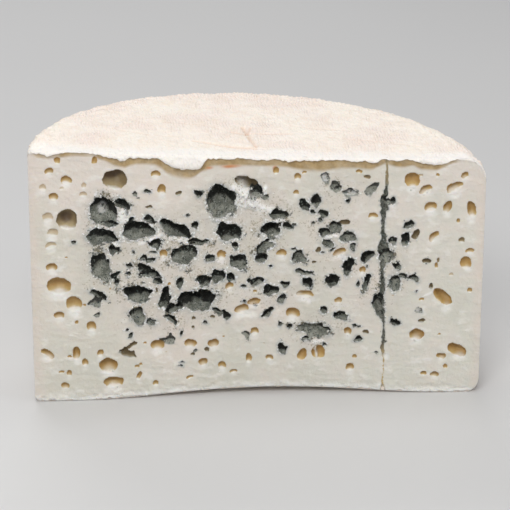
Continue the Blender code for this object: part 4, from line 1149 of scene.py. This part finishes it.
def place_camera():
    """The photograph's view, found from the outline of the cut face and of the rear rim."""
    distance = 1.02581
    yaw, pitch, roll = math.radians(3.602), math.radians(21.198), math.radians(0.173)
    ahead = Vector((math.sin(yaw) * math.cos(pitch), math.cos(yaw) * math.cos(pitch), -math.sin(pitch)))
    level = Vector((math.cos(yaw), -math.sin(yaw), 0.0))
    upright = level.cross(ahead)
    right = math.cos(roll) * level + math.sin(roll) * upright
    up = math.cos(roll) * upright - math.sin(roll) * level
    target = Vector((-1.392, FACE_Y, 64.971)) * MM
    data = bpy.data.cameras.new("camera")
    data.sensor_width = 36.0
    data.lens = 173.065
    data.clip_start = 0.05
    data.clip_end = 20.0
    camera = add_object("camera", data)
    turn = Matrix((right, up, -ahead)).transposed().to_4x4()
    camera.matrix_world = Matrix.Translation(target - ahead * distance) @ turn
    bpy.context.scene.camera = camera


def softbox(name, place, aim, size, power):
    """A rectangular light at a place, turned towards its aim."""
    data = bpy.data.lights.new(name, "AREA")
    data.shape = "RECTANGLE"
    data.size, data.size_y = size
    data.energy = power
    light = add_object(name, data)
    light.location = place
    light.rotation_euler = (Vector(aim) - Vector(place)).to_track_quat("-Z", "Y").to_euler()


def studio():
    """Four soft lights, a dim bluish sky and a plain pale floor."""
    softbox("key_light", (-0.26, -0.95, 0.92), (0.0, -0.02, 0.07), (0.60, 0.40), 8.5)
    softbox("top_light", (-0.10, 0.05, 1.35), (0.0, -0.02, 0.07), (0.7, 0.5), 5.0)
    softbox("side_light", (1.0, -0.5, 0.6), (0.0, 0.0, 0.06), (0.6, 0.6), 2.4)
    softbox("back_light", (-0.3, 1.0, 0.9), (0.0, 0.0, 0.08), (0.8, 0.5), 3.6)
    world = bpy.data.worlds.new("studio")
    world.use_nodes = True
    sky = world.node_tree.nodes["Background"].inputs
    sky["Color"].default_value = (0.92, 0.94, 1.0, 1.0)
    sky["Strength"].default_value = 0.28
    bpy.context.scene.world = world
    mesh = bpy.data.meshes.new("floor")
    reach = 3.0
    corners = [(-reach, -reach, 0.0), (reach, -reach, 0.0), (reach, reach, 0.0), (-reach, reach, 0.0)]
    mesh.from_pydata(corners, [], [(0, 1, 2, 3)])
    mesh.materials.append(floor_finish())
    ground = add_object("floor", mesh)
    bpy.context.scene.view_settings.view_transform = "Standard"


place_camera()
studio()
body_pieces = [(paste_piece(paste_finish()), "paste"), (rind_piece(rind_finish()), "rind")]
loose_pieces = [(crumb_piece(crumb_finish()), "paste"), (mould_crumb_piece(mould_crumb_finish()), "paste")]
for item, slot in body_pieces + loose_pieces:
    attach(item, "root")
for item, slot in body_pieces:
    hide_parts("half_wheel")
